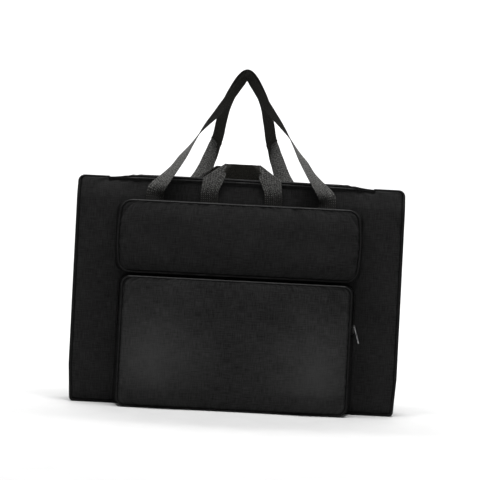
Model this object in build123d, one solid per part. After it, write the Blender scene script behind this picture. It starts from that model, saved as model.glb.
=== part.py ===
from build123d import *
import math
import os

os.makedirs("parts", exist_ok=True)

# ---------------------------------------------------------------- driving dimensions (mm)
# X is the bag's width, Z is up, and the front faces -Y. z = 0 is the surface it stands on.
BAG_WIDTH = 620.0
BAG_HEIGHT = 428.0
BAG_DEPTH = 60.0
TOP_DEPTH = 45.0            # depth at the top edge, above the taper
TAPER_START = 390.0
SIDE_PULL_IN = 4.0          # the sides draw in by this much at the floor
PULL_IN_HEIGHT = 70.0
TOP_CORNER = 12.0
BOTTOM_CORNER = 7.0

PANEL_THICK = 2.5
PIPING = 3.0
PIPING_DEPTH = 2.9          # how far the piping reaches back from the panel's face
FABRIC = 2.0
LINING_THICK = 0.8
BOARD_THICK = 2.0

LIP_HALF = 252.0            # half-length of the main zip's moving lips
LIP_SEAM = 422.0            # top of the panels between the zip's ends
LIP_CREST = 434.0
LIP_CREST_END = 430.5
LIP_HINGE_Y = 22.5
ZIP_Z = 423.4               # middle of the main zip's coil
ZIP_END = 301.0

COIL_INNER = 0.6            # half the gap between the two halves of a coil
COIL_OUTER = 3.2
COIL_THICK = 2.0
TAPE_OUTER = 6.2
TAPE_THICK = 0.8

POCKET_FABRIC = 1.6
UPPER_LIP_HALF = 156.0
UPPER_ZIP_END = 204.0
UPPER_ZIP_Y = -44.0
UPPER_ZIP_Z = 379.9
LOWER_ZIP_Y = -48.0
LOWER_ZIP_BOTTOM = 150.0
FLAP_HINGE_Z = 173.0

WEBBING = 34.0
WEBBING_THICK = 1.6
FOLD_Z = 390.0              # the line along which the handles fold down
ANCHOR_LOW = 330.0
FRONT_LONG_X = 163.0
BACK_LONG_X = 106.0
SHORT_X = 60.6

SLIDER_LENGTH = 16.0
SLIDER_WIDTH = 11.0
PULL_LENGTH = 32.0
GAP = 0.3

half_depth = BAG_DEPTH / 2
half_top = TOP_DEPTH / 2


# ---------------------------------------------------------------- helpers
def prism_along_x(points, x0, x1):
    """A solid with a (y, z) section, from x0 to x1."""
    face = make_face(Plane.YZ.offset(x0) * Polyline(*points, close=True))
    return extrude(face, amount=x1 - x0, dir=(1, 0, 0))


def prism_along_y(points, y0, y1):
    """A solid with an (x, z) outline, from y0 to y1."""
    face = make_face(Plane.XZ.offset(-y0) * Polyline(*points, close=True))
    return extrude(face, amount=y1 - y0, dir=(0, 1, 0))


def block(x0, x1, y0, y1, z0, z1):
    size = (x1 - x0, y1 - y0, z1 - z0)
    return Pos((x0 + x1) / 2, (y0 + y1) / 2, (z0 + z1) / 2) * Box(*size)


def mirrored_y(shape):
    return shape.mirror(Plane.XZ)


def mirrored_x(shape):
    return shape.mirror(Plane.YZ)


def save(node, shape):
    solids = shape.solids()
    kept = solids[0] if len(solids) == 1 else Compound(children=list(solids))
    export_step(kept, f"parts/{node}.step")


# ---------------------------------------------------------------- the body
def body_outline(inset):
    """The bag's outline seen from the front, drawn in by inset."""
    half = BAG_WIDTH / 2
    points = [
        (-half + SIDE_PULL_IN, 0),
        (half - SIDE_PULL_IN, 0),
        (half, PULL_IN_HEIGHT),
        (half, BAG_HEIGHT),
        (-half, BAG_HEIGHT),
        (-half, PULL_IN_HEIGHT),
    ]
    face = make_face(Polyline(*points, close=True))
    bottom = [v for v in face.vertices() if v.Y < 1]
    face = fillet(bottom, BOTTOM_CORNER)
    top = [v for v in face.vertices() if v.Y > BAG_HEIGHT - 1]
    face = fillet(top, TOP_CORNER)
    return offset(face, amount=-inset) if inset else face


def outline_prism(inset):
    upright = Plane.XZ.offset(half_depth + 5) * body_outline(inset)
    return extrude(upright, amount=BAG_DEPTH + 10, dir=(0, 1, 0))


def skin_section(outside, inside):
    """A strip along the front panel, between two depths measured inwards from its face."""
    return [
        (-half_depth + outside, 0),
        (-half_depth + outside, TAPER_START),
        (-half_top + outside, BAG_HEIGHT),
        (-half_top + inside, BAG_HEIGHT),
        (-half_depth + inside, TAPER_START),
        (-half_depth + inside, 0),
    ]


far = BAG_WIDTH / 2 + 5
mouth_cut = block(-LIP_HALF - GAP, LIP_HALF + GAP, -40, 40, LIP_SEAM, BAG_HEIGHT + 5)
outer_prism = outline_prism(0)
inner_prism = outline_prism(PIPING)

front_panel = inner_prism & prism_along_x(skin_section(0, PANEL_THICK), -far, far)
front_panel = front_panel - mouth_cut
front_piping = (outer_prism - inner_prism) & prism_along_x(skin_section(0, PIPING_DEPTH), -far, far)
front_piping = front_piping - mouth_cut

between_panels = [
    (-half_depth + PIPING_DEPTH, 0),
    (half_depth - PIPING_DEPTH, 0),
    (half_depth - PIPING_DEPTH, TAPER_START),
    (half_top - PIPING_DEPTH, BAG_HEIGHT),
    (-half_top + PIPING_DEPTH, BAG_HEIGHT),
    (-half_depth + PIPING_DEPTH, TAPER_START),
]
gusset_ring = (outer_prism - outline_prism(FABRIC)) & prism_along_x(between_panels, -far, far)
side_low = 9.0
side_high = 405.0
left_gusset = gusset_ring & block(-far, -290, -40, 40, side_low, side_high)
bottom_gusset = gusset_ring & block(-far, far, -40, 40, -1, side_low)

front_stiffener = block(-296, 296, -half_depth + PANEL_THICK, -half_depth + PANEL_THICK + BOARD_THICK, 8, 380)
lining_y = -half_depth + PANEL_THICK + BOARD_THICK
front_lining = block(-302, 302, lining_y, lining_y + LINING_THICK, 5, 384)
bottom_stiffener = block(-298, 298, -24, 24, FABRIC, FABRIC + 2.0)

save("front_panel", front_panel)
save("back_panel", mirrored_y(front_panel))
save("front_piping", front_piping)
save("back_piping", mirrored_y(front_piping))
save("left_gusset", left_gusset)
save("right_gusset", mirrored_x(left_gusset))
save("bottom_gusset", bottom_gusset)
save("front_stiffener", front_stiffener)
save("back_stiffener", mirrored_y(front_stiffener))
save("front_lining", front_lining)
save("back_lining", mirrored_y(front_lining))
save("bottom_stiffener", bottom_stiffener)

# Each top end is the corner of the gusset with a sunken channel for the parked slider.
channel_half = 7.5
channel_wall = 1.4
channel_outer = channel_half + channel_wall
channel_low = ZIP_Z - TAPE_THICK / 2
channel_top = BAG_HEIGHT - 1
top_corner = gusset_ring & block(-far, -LIP_HALF - GAP, -40, 40, side_high, BAG_HEIGHT + 1)
channel_cut = block(-ZIP_END, -LIP_HALF, -channel_half, channel_half, ZIP_Z - 5, BAG_HEIGHT + 1)
channel_section = [
    (-channel_outer, channel_top),
    (-channel_outer, channel_low),
    (-COIL_OUTER, channel_low),
    (-COIL_OUTER, ZIP_Z + TAPE_THICK / 2),
    (-channel_half, ZIP_Z + TAPE_THICK / 2),
    (-channel_half, channel_top),
]
channel_side = prism_along_x(channel_section, -ZIP_END, -LIP_HALF - GAP)
channel_end = block(-ZIP_END - channel_wall, -ZIP_END, -channel_outer, channel_outer, channel_low, channel_top)
left_top_end = (top_corner - channel_cut) + channel_side + mirrored_y(channel_side) + channel_end
save("left_top_end", left_top_end)
save("right_top_end", mirrored_x(left_top_end))


# ---------------------------------------------------------------- zips
def coil_half(x0, x1, y, z, side):
    """One half of a coil lying along X; side is -1 in front of the gap, +1 behind it."""
    near = y + side * COIL_INNER
    edge = y + side * COIL_OUTER
    return block(x0, x1, min(near, edge), max(near, edge), z - COIL_THICK / 2, z + COIL_THICK / 2)


def tape_half(x0, x1, y, z, side):
    near = y + side * COIL_OUTER
    edge = y + side * TAPE_OUTER
    return block(x0, x1, min(near, edge), max(near, edge), z - TAPE_THICK / 2, z + TAPE_THICK / 2)


# The lip is a padded hem that leans over the zip; its crest is lower towards the zip's ends.
lip_section = [
    (-LIP_HINGE_Y + 0.3, LIP_SEAM + 0.6),
    (-9.5, LIP_CREST - 0.4),
    (-8.0, LIP_CREST),
    (-6.6, LIP_CREST - 1.0),
    (-TAPE_OUTER, ZIP_Z + 0.8),
    (-8.0, LIP_SEAM + 0.6),
]
crest_flat = 196.0
crest_outline = [
    (-LIP_HALF, LIP_SEAM),
    (LIP_HALF, LIP_SEAM),
    (LIP_HALF, LIP_CREST_END),
    (crest_flat, LIP_CREST + 0.1),
    (-crest_flat, LIP_CREST + 0.1),
    (-LIP_HALF, LIP_CREST_END),
]
front_lip = prism_along_x(lip_section, -LIP_HALF, LIP_HALF) & prism_along_y(crest_outline, -40, 40)
front_tape = tape_half(-LIP_HALF, LIP_HALF, 0, ZIP_Z, -1)
front_coil = coil_half(-LIP_HALF, LIP_HALF, 0, ZIP_Z, -1)
save("front_lip", front_lip)
save("back_lip", mirrored_y(front_lip))
save("front_zip_tape", front_tape)
save("back_zip_tape", mirrored_y(front_tape))
save("front_zip_coil", front_coil)
save("back_zip_coil", mirrored_y(front_coil))

zip_ends = []
for side in (-1, 1):
    zip_ends.append(coil_half(-ZIP_END, -LIP_HALF - GAP, 0, ZIP_Z, side))
    zip_ends.append(coil_half(LIP_HALF + GAP, ZIP_END, 0, ZIP_Z, side))
save("main_zip_ends", Compound(children=zip_ends))

# Slider and pull, drawn along X with the coil's middle plane at z = 0.
PLATE_LOW = 1.4
PLATE_HIGH = 2.6
PIVOT_X = 4.0
PIVOT_Z = 3.9
PIN_RADIUS = 0.8
PIN_CLEARANCE = 0.08
BRIDGE_TOP = 5.0
WEB_HALF = 0.18
PULL_TAIL = 1.05            # how far the pull reaches behind its pin


def slider():
    plate = extrude(RectangleRounded(SLIDER_LENGTH, SLIDER_WIDTH, 2.5), amount=PLATE_HIGH - PLATE_LOW)
    top = Pos(0, 0, PLATE_LOW) * plate
    bottom = Pos(0, 0, -PLATE_HIGH) * plate
    web = block(-6, 6, -WEB_HALF, WEB_HALF, -PLATE_LOW, PLATE_LOW)
    bridge = block(PIVOT_X - 2.4, PIVOT_X + 2.4, -1.2, 1.2, PLATE_HIGH, BRIDGE_TOP)
    eye = Pos(PIVOT_X, 0, PIVOT_Z) * Rot(90, 0, 0) * Cylinder(PIN_RADIUS + PIN_CLEARANCE, 4)
    return top + bottom + web + (bridge - eye)


def zip_pull(width=6.0, thick=1.2):
    """A flat pull that points along +X from its pin. Its tail clears the slider as it flips over."""
    outline = Pos((PULL_LENGTH - PULL_TAIL) / 2, 0, 0) * RectangleRounded(PULL_LENGTH + PULL_TAIL, width, 0.9)
    window = Pos(2.2, 0, 0) * Rectangle(5.6, 3.4)
    plate = Pos(PIVOT_X, 0, PIVOT_Z - thick / 2) * extrude(outline - window, amount=thick)
    cut = Pos(PIVOT_X, 0, PIVOT_Z) * Box(4, 3.4, 4)
    pin = Pos(PIVOT_X, 0, PIVOT_Z) * Rot(90, 0, 0) * Cylinder(PIN_RADIUS, 4.4)
    return (plate - cut) + pin


MAIN_PARK = 262.0
main_place = Pos(MAIN_PARK, 0, ZIP_Z)
save("main_slider", main_place * slider())
save("main_pull", main_place * zip_pull())


# ---------------------------------------------------------------- pockets
class Pocket:
    """A box pocket on the front panel; its sides slope in from base_half to face_half."""

    def __init__(self, base_half, face_half, low, high, corner, front):
        self.base_half = base_half
        self.face_half = face_half
        self.low = low
        self.high = high
        self.corner = corner
        self.front = front

    def half_at(self, y):
        share = (-half_depth - y) / (-half_depth - self.front)
        return self.base_half + (self.face_half - self.base_half) * share

    def outline(self, y, inset):
        width = 2 * (self.half_at(y) - inset)
        height = self.high - self.low - 2 * inset
        middle = (self.low + self.high) / 2
        rounded = RectangleRounded(width, height, self.corner - inset)
        return Plane.XZ.offset(-y) * Pos(0, middle, 0) * rounded

    def core(self, inset, y0, y1):
        return loft([self.outline(y0, inset), self.outline(y1, inset)])

    def ring(self, outer, inner, y0, y1):
        return self.core(outer, y0, y1) - self.core(inner, y0, y1)


def slab_z(z0, z1):
    return block(-400, 400, -90, 0, z0, z1)


FACE_THICK = 2.2
BEAD_BACK = 2.7
BEAD_FRONT = 0.8
upper = Pocket(234.5, 220.5, 249.0, 384.5, 20.0, -60.0)
lower = Pocket(227.0, 214.5, 0.0, 243.0, 18.0, -65.0)


def pocket_face(pocket):
    return pocket.core(PIPING, pocket.front + FACE_THICK, pocket.front)


def pocket_piping(pocket):
    return pocket.ring(0, PIPING, pocket.front + BEAD_BACK, pocket.front - BEAD_FRONT)


def handle_anchor(x):
    return block(
        x - WEBBING / 2, x + WEBBING / 2, -half_depth - WEBBING_THICK, -half_depth, ANCHOR_LOW, FOLD_Z - 0.4
    )


front_anchors = [handle_anchor(x) for x in (-FRONT_LONG_X, -SHORT_X, SHORT_X, FRONT_LONG_X)]
back_anchors = [mirrored_y(handle_anchor(x)) for x in (-BACK_LONG_X, -SHORT_X, SHORT_X, BACK_LONG_X)]

# Upper pocket: its top gusset carries a zip in a shallow channel.
upper_ring = upper.ring(0, POCKET_FABRIC, -half_depth, upper.front + BEAD_BACK)
hem_top = upper.high
hem_low = UPPER_ZIP_Z - TAPE_THICK / 2
rear_hem_section = [
    (-half_depth, hem_top),
    (-half_depth, hem_top - POCKET_FABRIC),
    (-36.2, hem_top - POCKET_FABRIC),
    (-36.6, hem_low),
    (UPPER_ZIP_Y + TAPE_OUTER, hem_low),
    (UPPER_ZIP_Y + TAPE_OUTER, hem_top - 0.8),
    (-37.0, hem_top),
]
lip_edge = upper.front + BEAD_BACK + GAP
front_hem_section = [
    (lip_edge, hem_top),
    (lip_edge, hem_top - POCKET_FABRIC),
    (-52.0, hem_top - POCKET_FABRIC),
    (-51.6, hem_low),
    (UPPER_ZIP_Y - TAPE_OUTER, hem_low),
    (UPPER_ZIP_Y - TAPE_OUTER, hem_top - 0.8),
    (-51.0, hem_top),
]
zip_window = block(-UPPER_ZIP_END, UPPER_ZIP_END, -70, -20, 370, 390)
side_box = block(-400, -207, -90, 0, 262, 372)
upper_top = (upper_ring & slab_z(372, 400)) - zip_window
rear_hem = prism_along_x(rear_hem_section, -UPPER_ZIP_END, UPPER_ZIP_END)
upper_top = upper_top + rear_hem
for sign in (-1, 1):
    x0 = min(sign * UPPER_ZIP_END, sign * (UPPER_LIP_HALF + GAP))
    x1 = max(sign * UPPER_ZIP_END, sign * (UPPER_LIP_HALF + GAP))
    upper_top = upper_top + prism_along_x(front_hem_section, x0, x1)
    front_hem_end = block(x0, x1, upper.front + BEAD_BACK, lip_edge, hem_top - POCKET_FABRIC, hem_top)
    upper_top = upper_top + front_hem_end
for anchor in front_anchors:
    upper_top = upper_top - anchor
upper_left = upper_ring & side_box
upper_bottom = upper_ring & slab_z(240, 262)

save("upper_pocket_face", pocket_face(upper))
save("upper_pocket_piping", pocket_piping(upper))
save("upper_pocket_left_gusset", upper_left)
save("upper_pocket_right_gusset", mirrored_x(upper_left))
save("upper_pocket_bottom_gusset", upper_bottom)
save("upper_pocket_top_gusset", upper_top)
rear_tape = tape_half(-UPPER_ZIP_END, UPPER_ZIP_END, UPPER_ZIP_Y, UPPER_ZIP_Z, 1)
rear_coil = coil_half(-UPPER_ZIP_END, UPPER_ZIP_END, UPPER_ZIP_Y, UPPER_ZIP_Z, 1)
end_pieces = [rear_coil]
end_tapes = [rear_tape]
for sign in (-1, 1):
    x0 = min(sign * UPPER_ZIP_END, sign * (UPPER_LIP_HALF + GAP))
    x1 = max(sign * UPPER_ZIP_END, sign * (UPPER_LIP_HALF + GAP))
    end_pieces.append(coil_half(x0, x1, UPPER_ZIP_Y, UPPER_ZIP_Z, -1))
    end_tapes.append(tape_half(x0, x1, UPPER_ZIP_Y, UPPER_ZIP_Z, -1))
save("upper_pocket_rear_tape", Compound(children=end_tapes))
save("upper_pocket_rear_coil", Compound(children=end_pieces))
save("upper_pocket_lip", prism_along_x(front_hem_section, -UPPER_LIP_HALF, UPPER_LIP_HALF))
save("upper_pocket_lip_tape", tape_half(-UPPER_LIP_HALF, UPPER_LIP_HALF, UPPER_ZIP_Y, UPPER_ZIP_Z, -1))
save("upper_pocket_lip_coil", coil_half(-UPPER_LIP_HALF, UPPER_LIP_HALF, UPPER_ZIP_Y, UPPER_ZIP_Z, -1))

UPPER_PARK = 166.0
upper_place = Pos(UPPER_PARK, UPPER_ZIP_Y, UPPER_ZIP_Z)
save("upper_pocket_slider", upper_place * slider())
save("upper_pocket_pull", upper_place * zip_pull())

# Lower pocket: its zip runs up one side, across the top and down the other, and frees the flap.
flap_low = FLAP_HINGE_Z + GAP
tape_rear = LOWER_ZIP_Y + TAPE_OUTER
tape_front = LOWER_ZIP_Y - TAPE_OUTER
bead_plane = lower.front + BEAD_BACK
rear_ring = lower.ring(0, POCKET_FABRIC, -half_depth, tape_rear)
front_ring = lower.ring(0, POCKET_FABRIC, tape_front, bead_plane)
middle_ring = lower.ring(0, POCKET_FABRIC, tape_rear, tape_front)
fixed_ring = rear_ring + (front_ring & slab_z(-1, FLAP_HINGE_Z)) + (middle_ring & slab_z(-1, LOWER_ZIP_BOTTOM))
side_bottom = 16.0
side_top = 224.0
lower_left = fixed_ring & block(-400, -196, -90, 0, side_bottom, side_top)
lower_bottom = fixed_ring & slab_z(-1, side_bottom)
lower_top = fixed_ring & slab_z(side_top, 250)

tape_inset = (POCKET_FABRIC - TAPE_THICK) / 2
coil_inset = (POCKET_FABRIC - COIL_THICK) / 2
zip_slab = slab_z(LOWER_ZIP_BOTTOM, 250)
fixed_slab = slab_z(LOWER_ZIP_BOTTOM, FLAP_HINGE_Z)
flap_slab = slab_z(flap_low, 250)


def zip_ring(inset, thick, inner, outer, side):
    edges = sorted((LOWER_ZIP_Y + side * inner, LOWER_ZIP_Y + side * outer), reverse=True)
    return lower.ring(inset, inset + thick, edges[0], edges[1])


tape_behind = zip_ring(tape_inset, TAPE_THICK, COIL_OUTER, TAPE_OUTER, 1)
tape_ahead = zip_ring(tape_inset, TAPE_THICK, COIL_OUTER, TAPE_OUTER, -1)
coil_behind = zip_ring(coil_inset, COIL_THICK, COIL_INNER, COIL_OUTER, 1)
coil_ahead = zip_ring(coil_inset, COIL_THICK, COIL_INNER, COIL_OUTER, -1)

full_face = pocket_face(lower)
full_piping = pocket_piping(lower)
save("lower_pocket_face", full_face & slab_z(-1, FLAP_HINGE_Z))
save("lower_pocket_piping", full_piping & slab_z(-1, FLAP_HINGE_Z))
save("lower_pocket_left_gusset", lower_left)
save("lower_pocket_right_gusset", mirrored_x(lower_left))
save("lower_pocket_bottom_gusset", lower_bottom)
save("lower_pocket_top_gusset", lower_top)


def solids_of(*shapes):
    found = []
    for shape in shapes:
        found.extend(shape.solids())
    return Compound(children=found)


save("lower_pocket_rear_tape", solids_of(tape_behind & zip_slab, tape_ahead & fixed_slab))
save("lower_pocket_rear_coil", solids_of(coil_behind & zip_slab, coil_ahead & fixed_slab))
save("lower_flap_face", full_face & flap_slab)
save("lower_flap_piping", full_piping & flap_slab)
save("lower_flap_gusset", front_ring & flap_slab)
save("lower_flap_tape", tape_ahead & flap_slab)
save("lower_flap_coil", coil_ahead & flap_slab)

# The lower slider sits upright on the right gusset, and its pull leans outwards over the cloth.
LOWER_PARK = 163.0
LOWER_PULL_LEAN = 17.0
slope = (lower.base_half - lower.face_half) / (-half_depth - lower.front)
side_normal = Vector(1, -slope, 0).normalized()
side_point = Vector(lower.half_at(LOWER_ZIP_Y) - POCKET_FABRIC / 2, LOWER_ZIP_Y, LOWER_PARK)
side_plane = Plane(origin=side_point, x_dir=(0, 0, 1), z_dir=side_normal)
lower_pivot = Pos(PIVOT_X, 0, PIVOT_Z)
hanging = lower_pivot * Rot(0, 180 + LOWER_PULL_LEAN, 0) * lower_pivot.inverse()
save("lower_pocket_slider", side_plane.location * slider())
save("lower_pocket_pull", side_plane.location * hanging * zip_pull())


# ---------------------------------------------------------------- handles
def webbing_section(place, route, twist, away):
    """A cross-section of a strap. Twist is -90 where it lies flat on the panel and 0 where it is edge-on."""
    outward = Vector(-route.Z, 0, route.X).normalized()
    turn = math.radians(twist)
    across = Vector(0, away, 0) * math.cos(turn) + outward * math.sin(turn)
    normal = route.cross(across).normalized()
    wide = across * (WEBBING / 2)
    thick = normal * (WEBBING_THICK / 2)
    corners = [place + wide + thick, place + wide - thick, place - wide - thick, place - wide + thick]
    return Wire.make_polygon(corners, close=True)


def strap_loop(stations, away):
    """A strap from the left foot over the peak to the right foot.

    A station is (x, y, z, twist) on the left half, and the last one is the peak at x = 0.
    """
    left = [(Vector(x, y, z), twist) for x, y, z, twist in stations]
    right = [(Vector(-p.X, p.Y, p.Z), twist) for p, twist in reversed(left[:-1])]
    full = left + right
    sections = []
    for i, (place, twist) in enumerate(full):
        before = full[max(i - 1, 0)][0]
        after = full[min(i + 1, len(full) - 1)][0]
        route = Vector(after.X - before.X, 0, after.Z - before.Z).normalized()
        sections.append(webbing_section(place, route, twist, away))
    return Solid.make_loft(sections, ruled=True)


# Left half of each long handle: x, y, z and twist along the middle of the webbing.
front_route = [
    (-163, -30.9, 390.4, -90),
    (-163, -31.2, 397, -90),
    (-161, -32.4, 405, -82),
    (-154.5, -34.2, 415, -61),
    (-144, -36.4, 428, -46),
    (-128.5, -36.0, 448, -33),
    (-114.5, -31.5, 470, -28),
    (-100, -24.0, 494, -14),
    (-86, -20.0, 517, -5),
    (-73, -18.6, 534.5, 5),
    (-56, -18.4, 555, 15),
    (-40, -18.4, 576, 22),
    (-26, -18.4, 596, 22),
    (-12, -18.4, 616, 20),
    (0, -18.4, 630, 17),
]
back_route = [
    (-106, 30.9, 390.4, -90),
    (-106, 31.0, 395, -90),
    (-103.5, 32.0, 404, -94),
    (-92, 36.0, 422, -104),
    (-81.5, 40.5, 440, -110),
    (-74, 43.0, 457, -115),
    (-68, 44.5, 474, -112),
    (-62, 44.0, 490, -100),
    (-58.5, 42.0, 501, -84),
    (-55, 39.0, 510, -64),
    (-52.5, 36.0, 518, -47),
    (-49.5, 31.5, 530, -38),
    (-45, 25.5, 552, -34),
    (-39, 21.0, 576, -31),
    (-29, 18.9, 601, -29),
    (-14, 18.6, 628, -27),
    (0, 18.6, 640, -25),
]
save("front_long_handle", strap_loop(front_route, -1))
save("back_long_handle", strap_loop(back_route, 1))

# A short handle is two legs folded over at 45 degrees into a level band. It leans out by half a degree, so
# that the open lips stay behind it.
LEAN = -0.5
LEAN_Z = 402.0
CORNER_HALF = 74.0          # where a leg's outer edge meets the fold
CORNER_Z = 431.0
BAND_TOP_HALF = 35.0
BAND_TOP = 461.5
BAND_LOW = 427.5
leg_outer = SHORT_X + WEBBING / 2
leg_inner = SHORT_X - WEBBING / 2
strap_front = -half_depth - WEBBING_THICK - 0.1


def short_handle():
    leaning = [
        (-leg_outer, LEAN_Z),
        (-leg_inner, LEAN_Z),
        (-BAND_TOP_HALF + 3, BAND_TOP),
        (-CORNER_HALF, CORNER_Z),
    ]
    band = [
        (-CORNER_HALF + 1, BAND_LOW),
        (CORNER_HALF - 1, BAND_LOW),
        (CORNER_HALF, CORNER_Z),
        (BAND_TOP_HALF, BAND_TOP),
        (-BAND_TOP_HALF, BAND_TOP),
        (-CORNER_HALF, CORNER_Z),
    ]
    leg = prism_along_y(leaning, 0, WEBBING_THICK)
    grip = leg + mirrored_x(leg) + prism_along_y(band, WEBBING_THICK, 2 * WEBBING_THICK)
    tilt = Pos(0, strap_front, LEAN_Z) * Rot(-LEAN, 0, 0) * Pos(0, 0, -LEAN_Z)
    grip = tilt * grip
    foot = block(-leg_outer, -leg_inner, strap_front, strap_front + WEBBING_THICK, FOLD_Z + 0.4, LEAN_Z + 0.1)
    return grip + foot + mirrored_x(foot)


front_short = short_handle()
save("front_short_handle", front_short)
save("back_short_handle", mirrored_y(front_short))
save("front_handle_anchors", Compound(children=front_anchors))
save("back_handle_anchors", Compound(children=back_anchors))


# A sewn box with a cross holds each strap end on the back panel.
def box_stitch(x):
    y0 = half_depth + WEBBING_THICK
    y1 = y0 + 0.5
    low = ANCHOR_LOW + 5
    high = low + 26
    left = x - 13
    right = x + 13
    seam = 0.8
    frame = block(left, right, y0, y1, low, high)
    frame = frame - block(left + seam, right - seam, y0 - 1, y1 + 1, low + seam, high - seam)
    middle = Pos(x, (y0 + y1) / 2, (low + high) / 2)
    for turn in (-45, 45):
        diagonal = middle * Rot(0, turn, 0) * Box(seam, y1 - y0, math.hypot(26, 26) - 2)
        frame = frame + diagonal
    return frame


save("anchor_stitching", solids_of(*[box_stitch(x) for x in (-BACK_LONG_X, -SHORT_X, SHORT_X, BACK_LONG_X)]))
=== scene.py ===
import math

import bpy
import numpy as np
from mathutils import Matrix, Vector


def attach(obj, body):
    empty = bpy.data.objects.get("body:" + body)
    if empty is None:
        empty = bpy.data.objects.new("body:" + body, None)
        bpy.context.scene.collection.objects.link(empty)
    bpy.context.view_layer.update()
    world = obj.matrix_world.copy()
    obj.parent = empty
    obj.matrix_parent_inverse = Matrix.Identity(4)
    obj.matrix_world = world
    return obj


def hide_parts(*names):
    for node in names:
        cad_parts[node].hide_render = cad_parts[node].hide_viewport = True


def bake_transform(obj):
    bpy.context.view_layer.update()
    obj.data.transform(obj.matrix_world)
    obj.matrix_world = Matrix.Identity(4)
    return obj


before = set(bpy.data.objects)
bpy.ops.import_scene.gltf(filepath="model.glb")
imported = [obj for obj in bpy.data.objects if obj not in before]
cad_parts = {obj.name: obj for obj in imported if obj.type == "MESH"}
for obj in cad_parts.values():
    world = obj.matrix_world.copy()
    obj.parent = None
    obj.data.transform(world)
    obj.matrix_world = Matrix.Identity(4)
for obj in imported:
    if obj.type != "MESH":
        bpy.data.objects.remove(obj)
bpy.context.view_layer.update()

MM = 0.001

# ---------------------------------------------------------------- shape of the bag (mm)
# The same dimensions as the CAD frame: X is the width, Z is up, and the front faces -Y.
HALF_WIDTH = 310.0
SIDE_PULL_IN = 4.0
PULL_IN_HEIGHT = 70.0
TOP = 428.0
HALF_DEPTH = 30.0
HALF_TOP = 22.5
TAPER_START = 390.0
TOP_CORNER = 12.0
BOTTOM_CORNER = 7.0
PIPING = 3.0
MOUTH_HALF = 252.3
LIP_HALF = 252.0
LIP_SEAM = 422.0
ZIP_Z = 423.4
ZIP_END = 301.0
WEBBING = 34.0
WEBBING_THICK = 1.6
RIBS = 9
UPPER_ZIP_Y = -44.0
UPPER_ZIP_Z = 379.9
LOWER_ZIP_Y = -48.0
LOWER_ZIP_BOTTOM = 150.0
FLAP_BEND = (165.0, 181.0)


# ---------------------------------------------------------------- arrays
def unit(v):
    length = np.linalg.norm(v, axis=-1, keepdims=True)
    return v / np.maximum(length, 1e-9)


def smoothstep(value, low, high):
    t = np.clip((np.asarray(value, float) - low) / (high - low), 0, 1)
    return t * t * (3 - 2 * t)


def xyz(x, y, z):
    """Points from three coordinates that broadcast together."""
    return np.stack(np.broadcast_arrays(x, y, z), axis=-1).astype(float)


def run(p):
    """The distance along a polyline at each of its points."""
    return np.concatenate([[0], np.cumsum(np.linalg.norm(np.diff(p, axis=0), axis=1))])


def uv_grid(u, v):
    return np.stack(np.meshgrid(u, v, indexing="ij"), axis=-1) * MM


def circle(radius, sides):
    turn = np.linspace(0, 2 * math.pi, sides, endpoint=False)
    return np.stack([np.cos(turn) * radius, np.sin(turn) * radius], axis=1)


def cubic(points, count, axis=0):
    """A smooth curve through the points along one axis, sampled count times."""
    p = np.moveaxis(np.asarray(points, float), axis, 0)
    n = len(p)
    t = np.linspace(0, n - 1, count)
    i = np.clip(t.astype(int), 0, n - 2)
    f = (t - i).reshape((-1,) + (1,) * (p.ndim - 1))
    p0, p1, p2, p3 = (p[np.clip(i + k, 0, n - 1)] for k in (-1, 0, 1, 2))
    m1 = (p2 - p0) / 2
    m2 = (p3 - p1) / 2
    f2 = f * f
    f3 = f2 * f
    out = (2 * f3 - 3 * f2 + 1) * p1 + (f3 - 2 * f2 + f) * m1 + (3 * f2 - 2 * f3) * p2 + (f3 - f2) * m2
    return np.moveaxis(out, 0, axis)


def resample(points, step, closed=False):
    """Points at an even spacing along a polyline."""
    p = np.asarray(points, float)
    if closed:
        p = np.vstack([p, p[:1]])
    s = run(p)
    at = np.linspace(0, s[-1], max(2, int(round(s[-1] / step)) + 1))
    out = np.stack([np.interp(at, s, p[:, k]) for k in range(p.shape[1])], axis=1)
    return out[:-1] if closed else out


def around(p):
    """Differences between a closed row's neighbours."""
    return np.roll(p, -1, axis=0) - np.roll(p, 1, axis=0)


def tangents(p, closed=False):
    return unit(around(p) if closed else np.gradient(p, axis=0))


def ripple(x, z, seed, size):
    """A smooth random field between about -1 and 1, with bumps of the given size in mm."""
    local = np.random.default_rng(seed)
    total = np.zeros(np.broadcast(x, z).shape)
    for _ in range(9):
        angle = local.uniform(0, 2 * math.pi)
        k = 2 * math.pi / (size * local.uniform(0.7, 1.6))
        phase = local.uniform(0, 2 * math.pi)
        total = total + np.sin(k * (x * math.cos(angle) + z * math.sin(angle)) + phase)
    return total / 4.5


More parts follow.
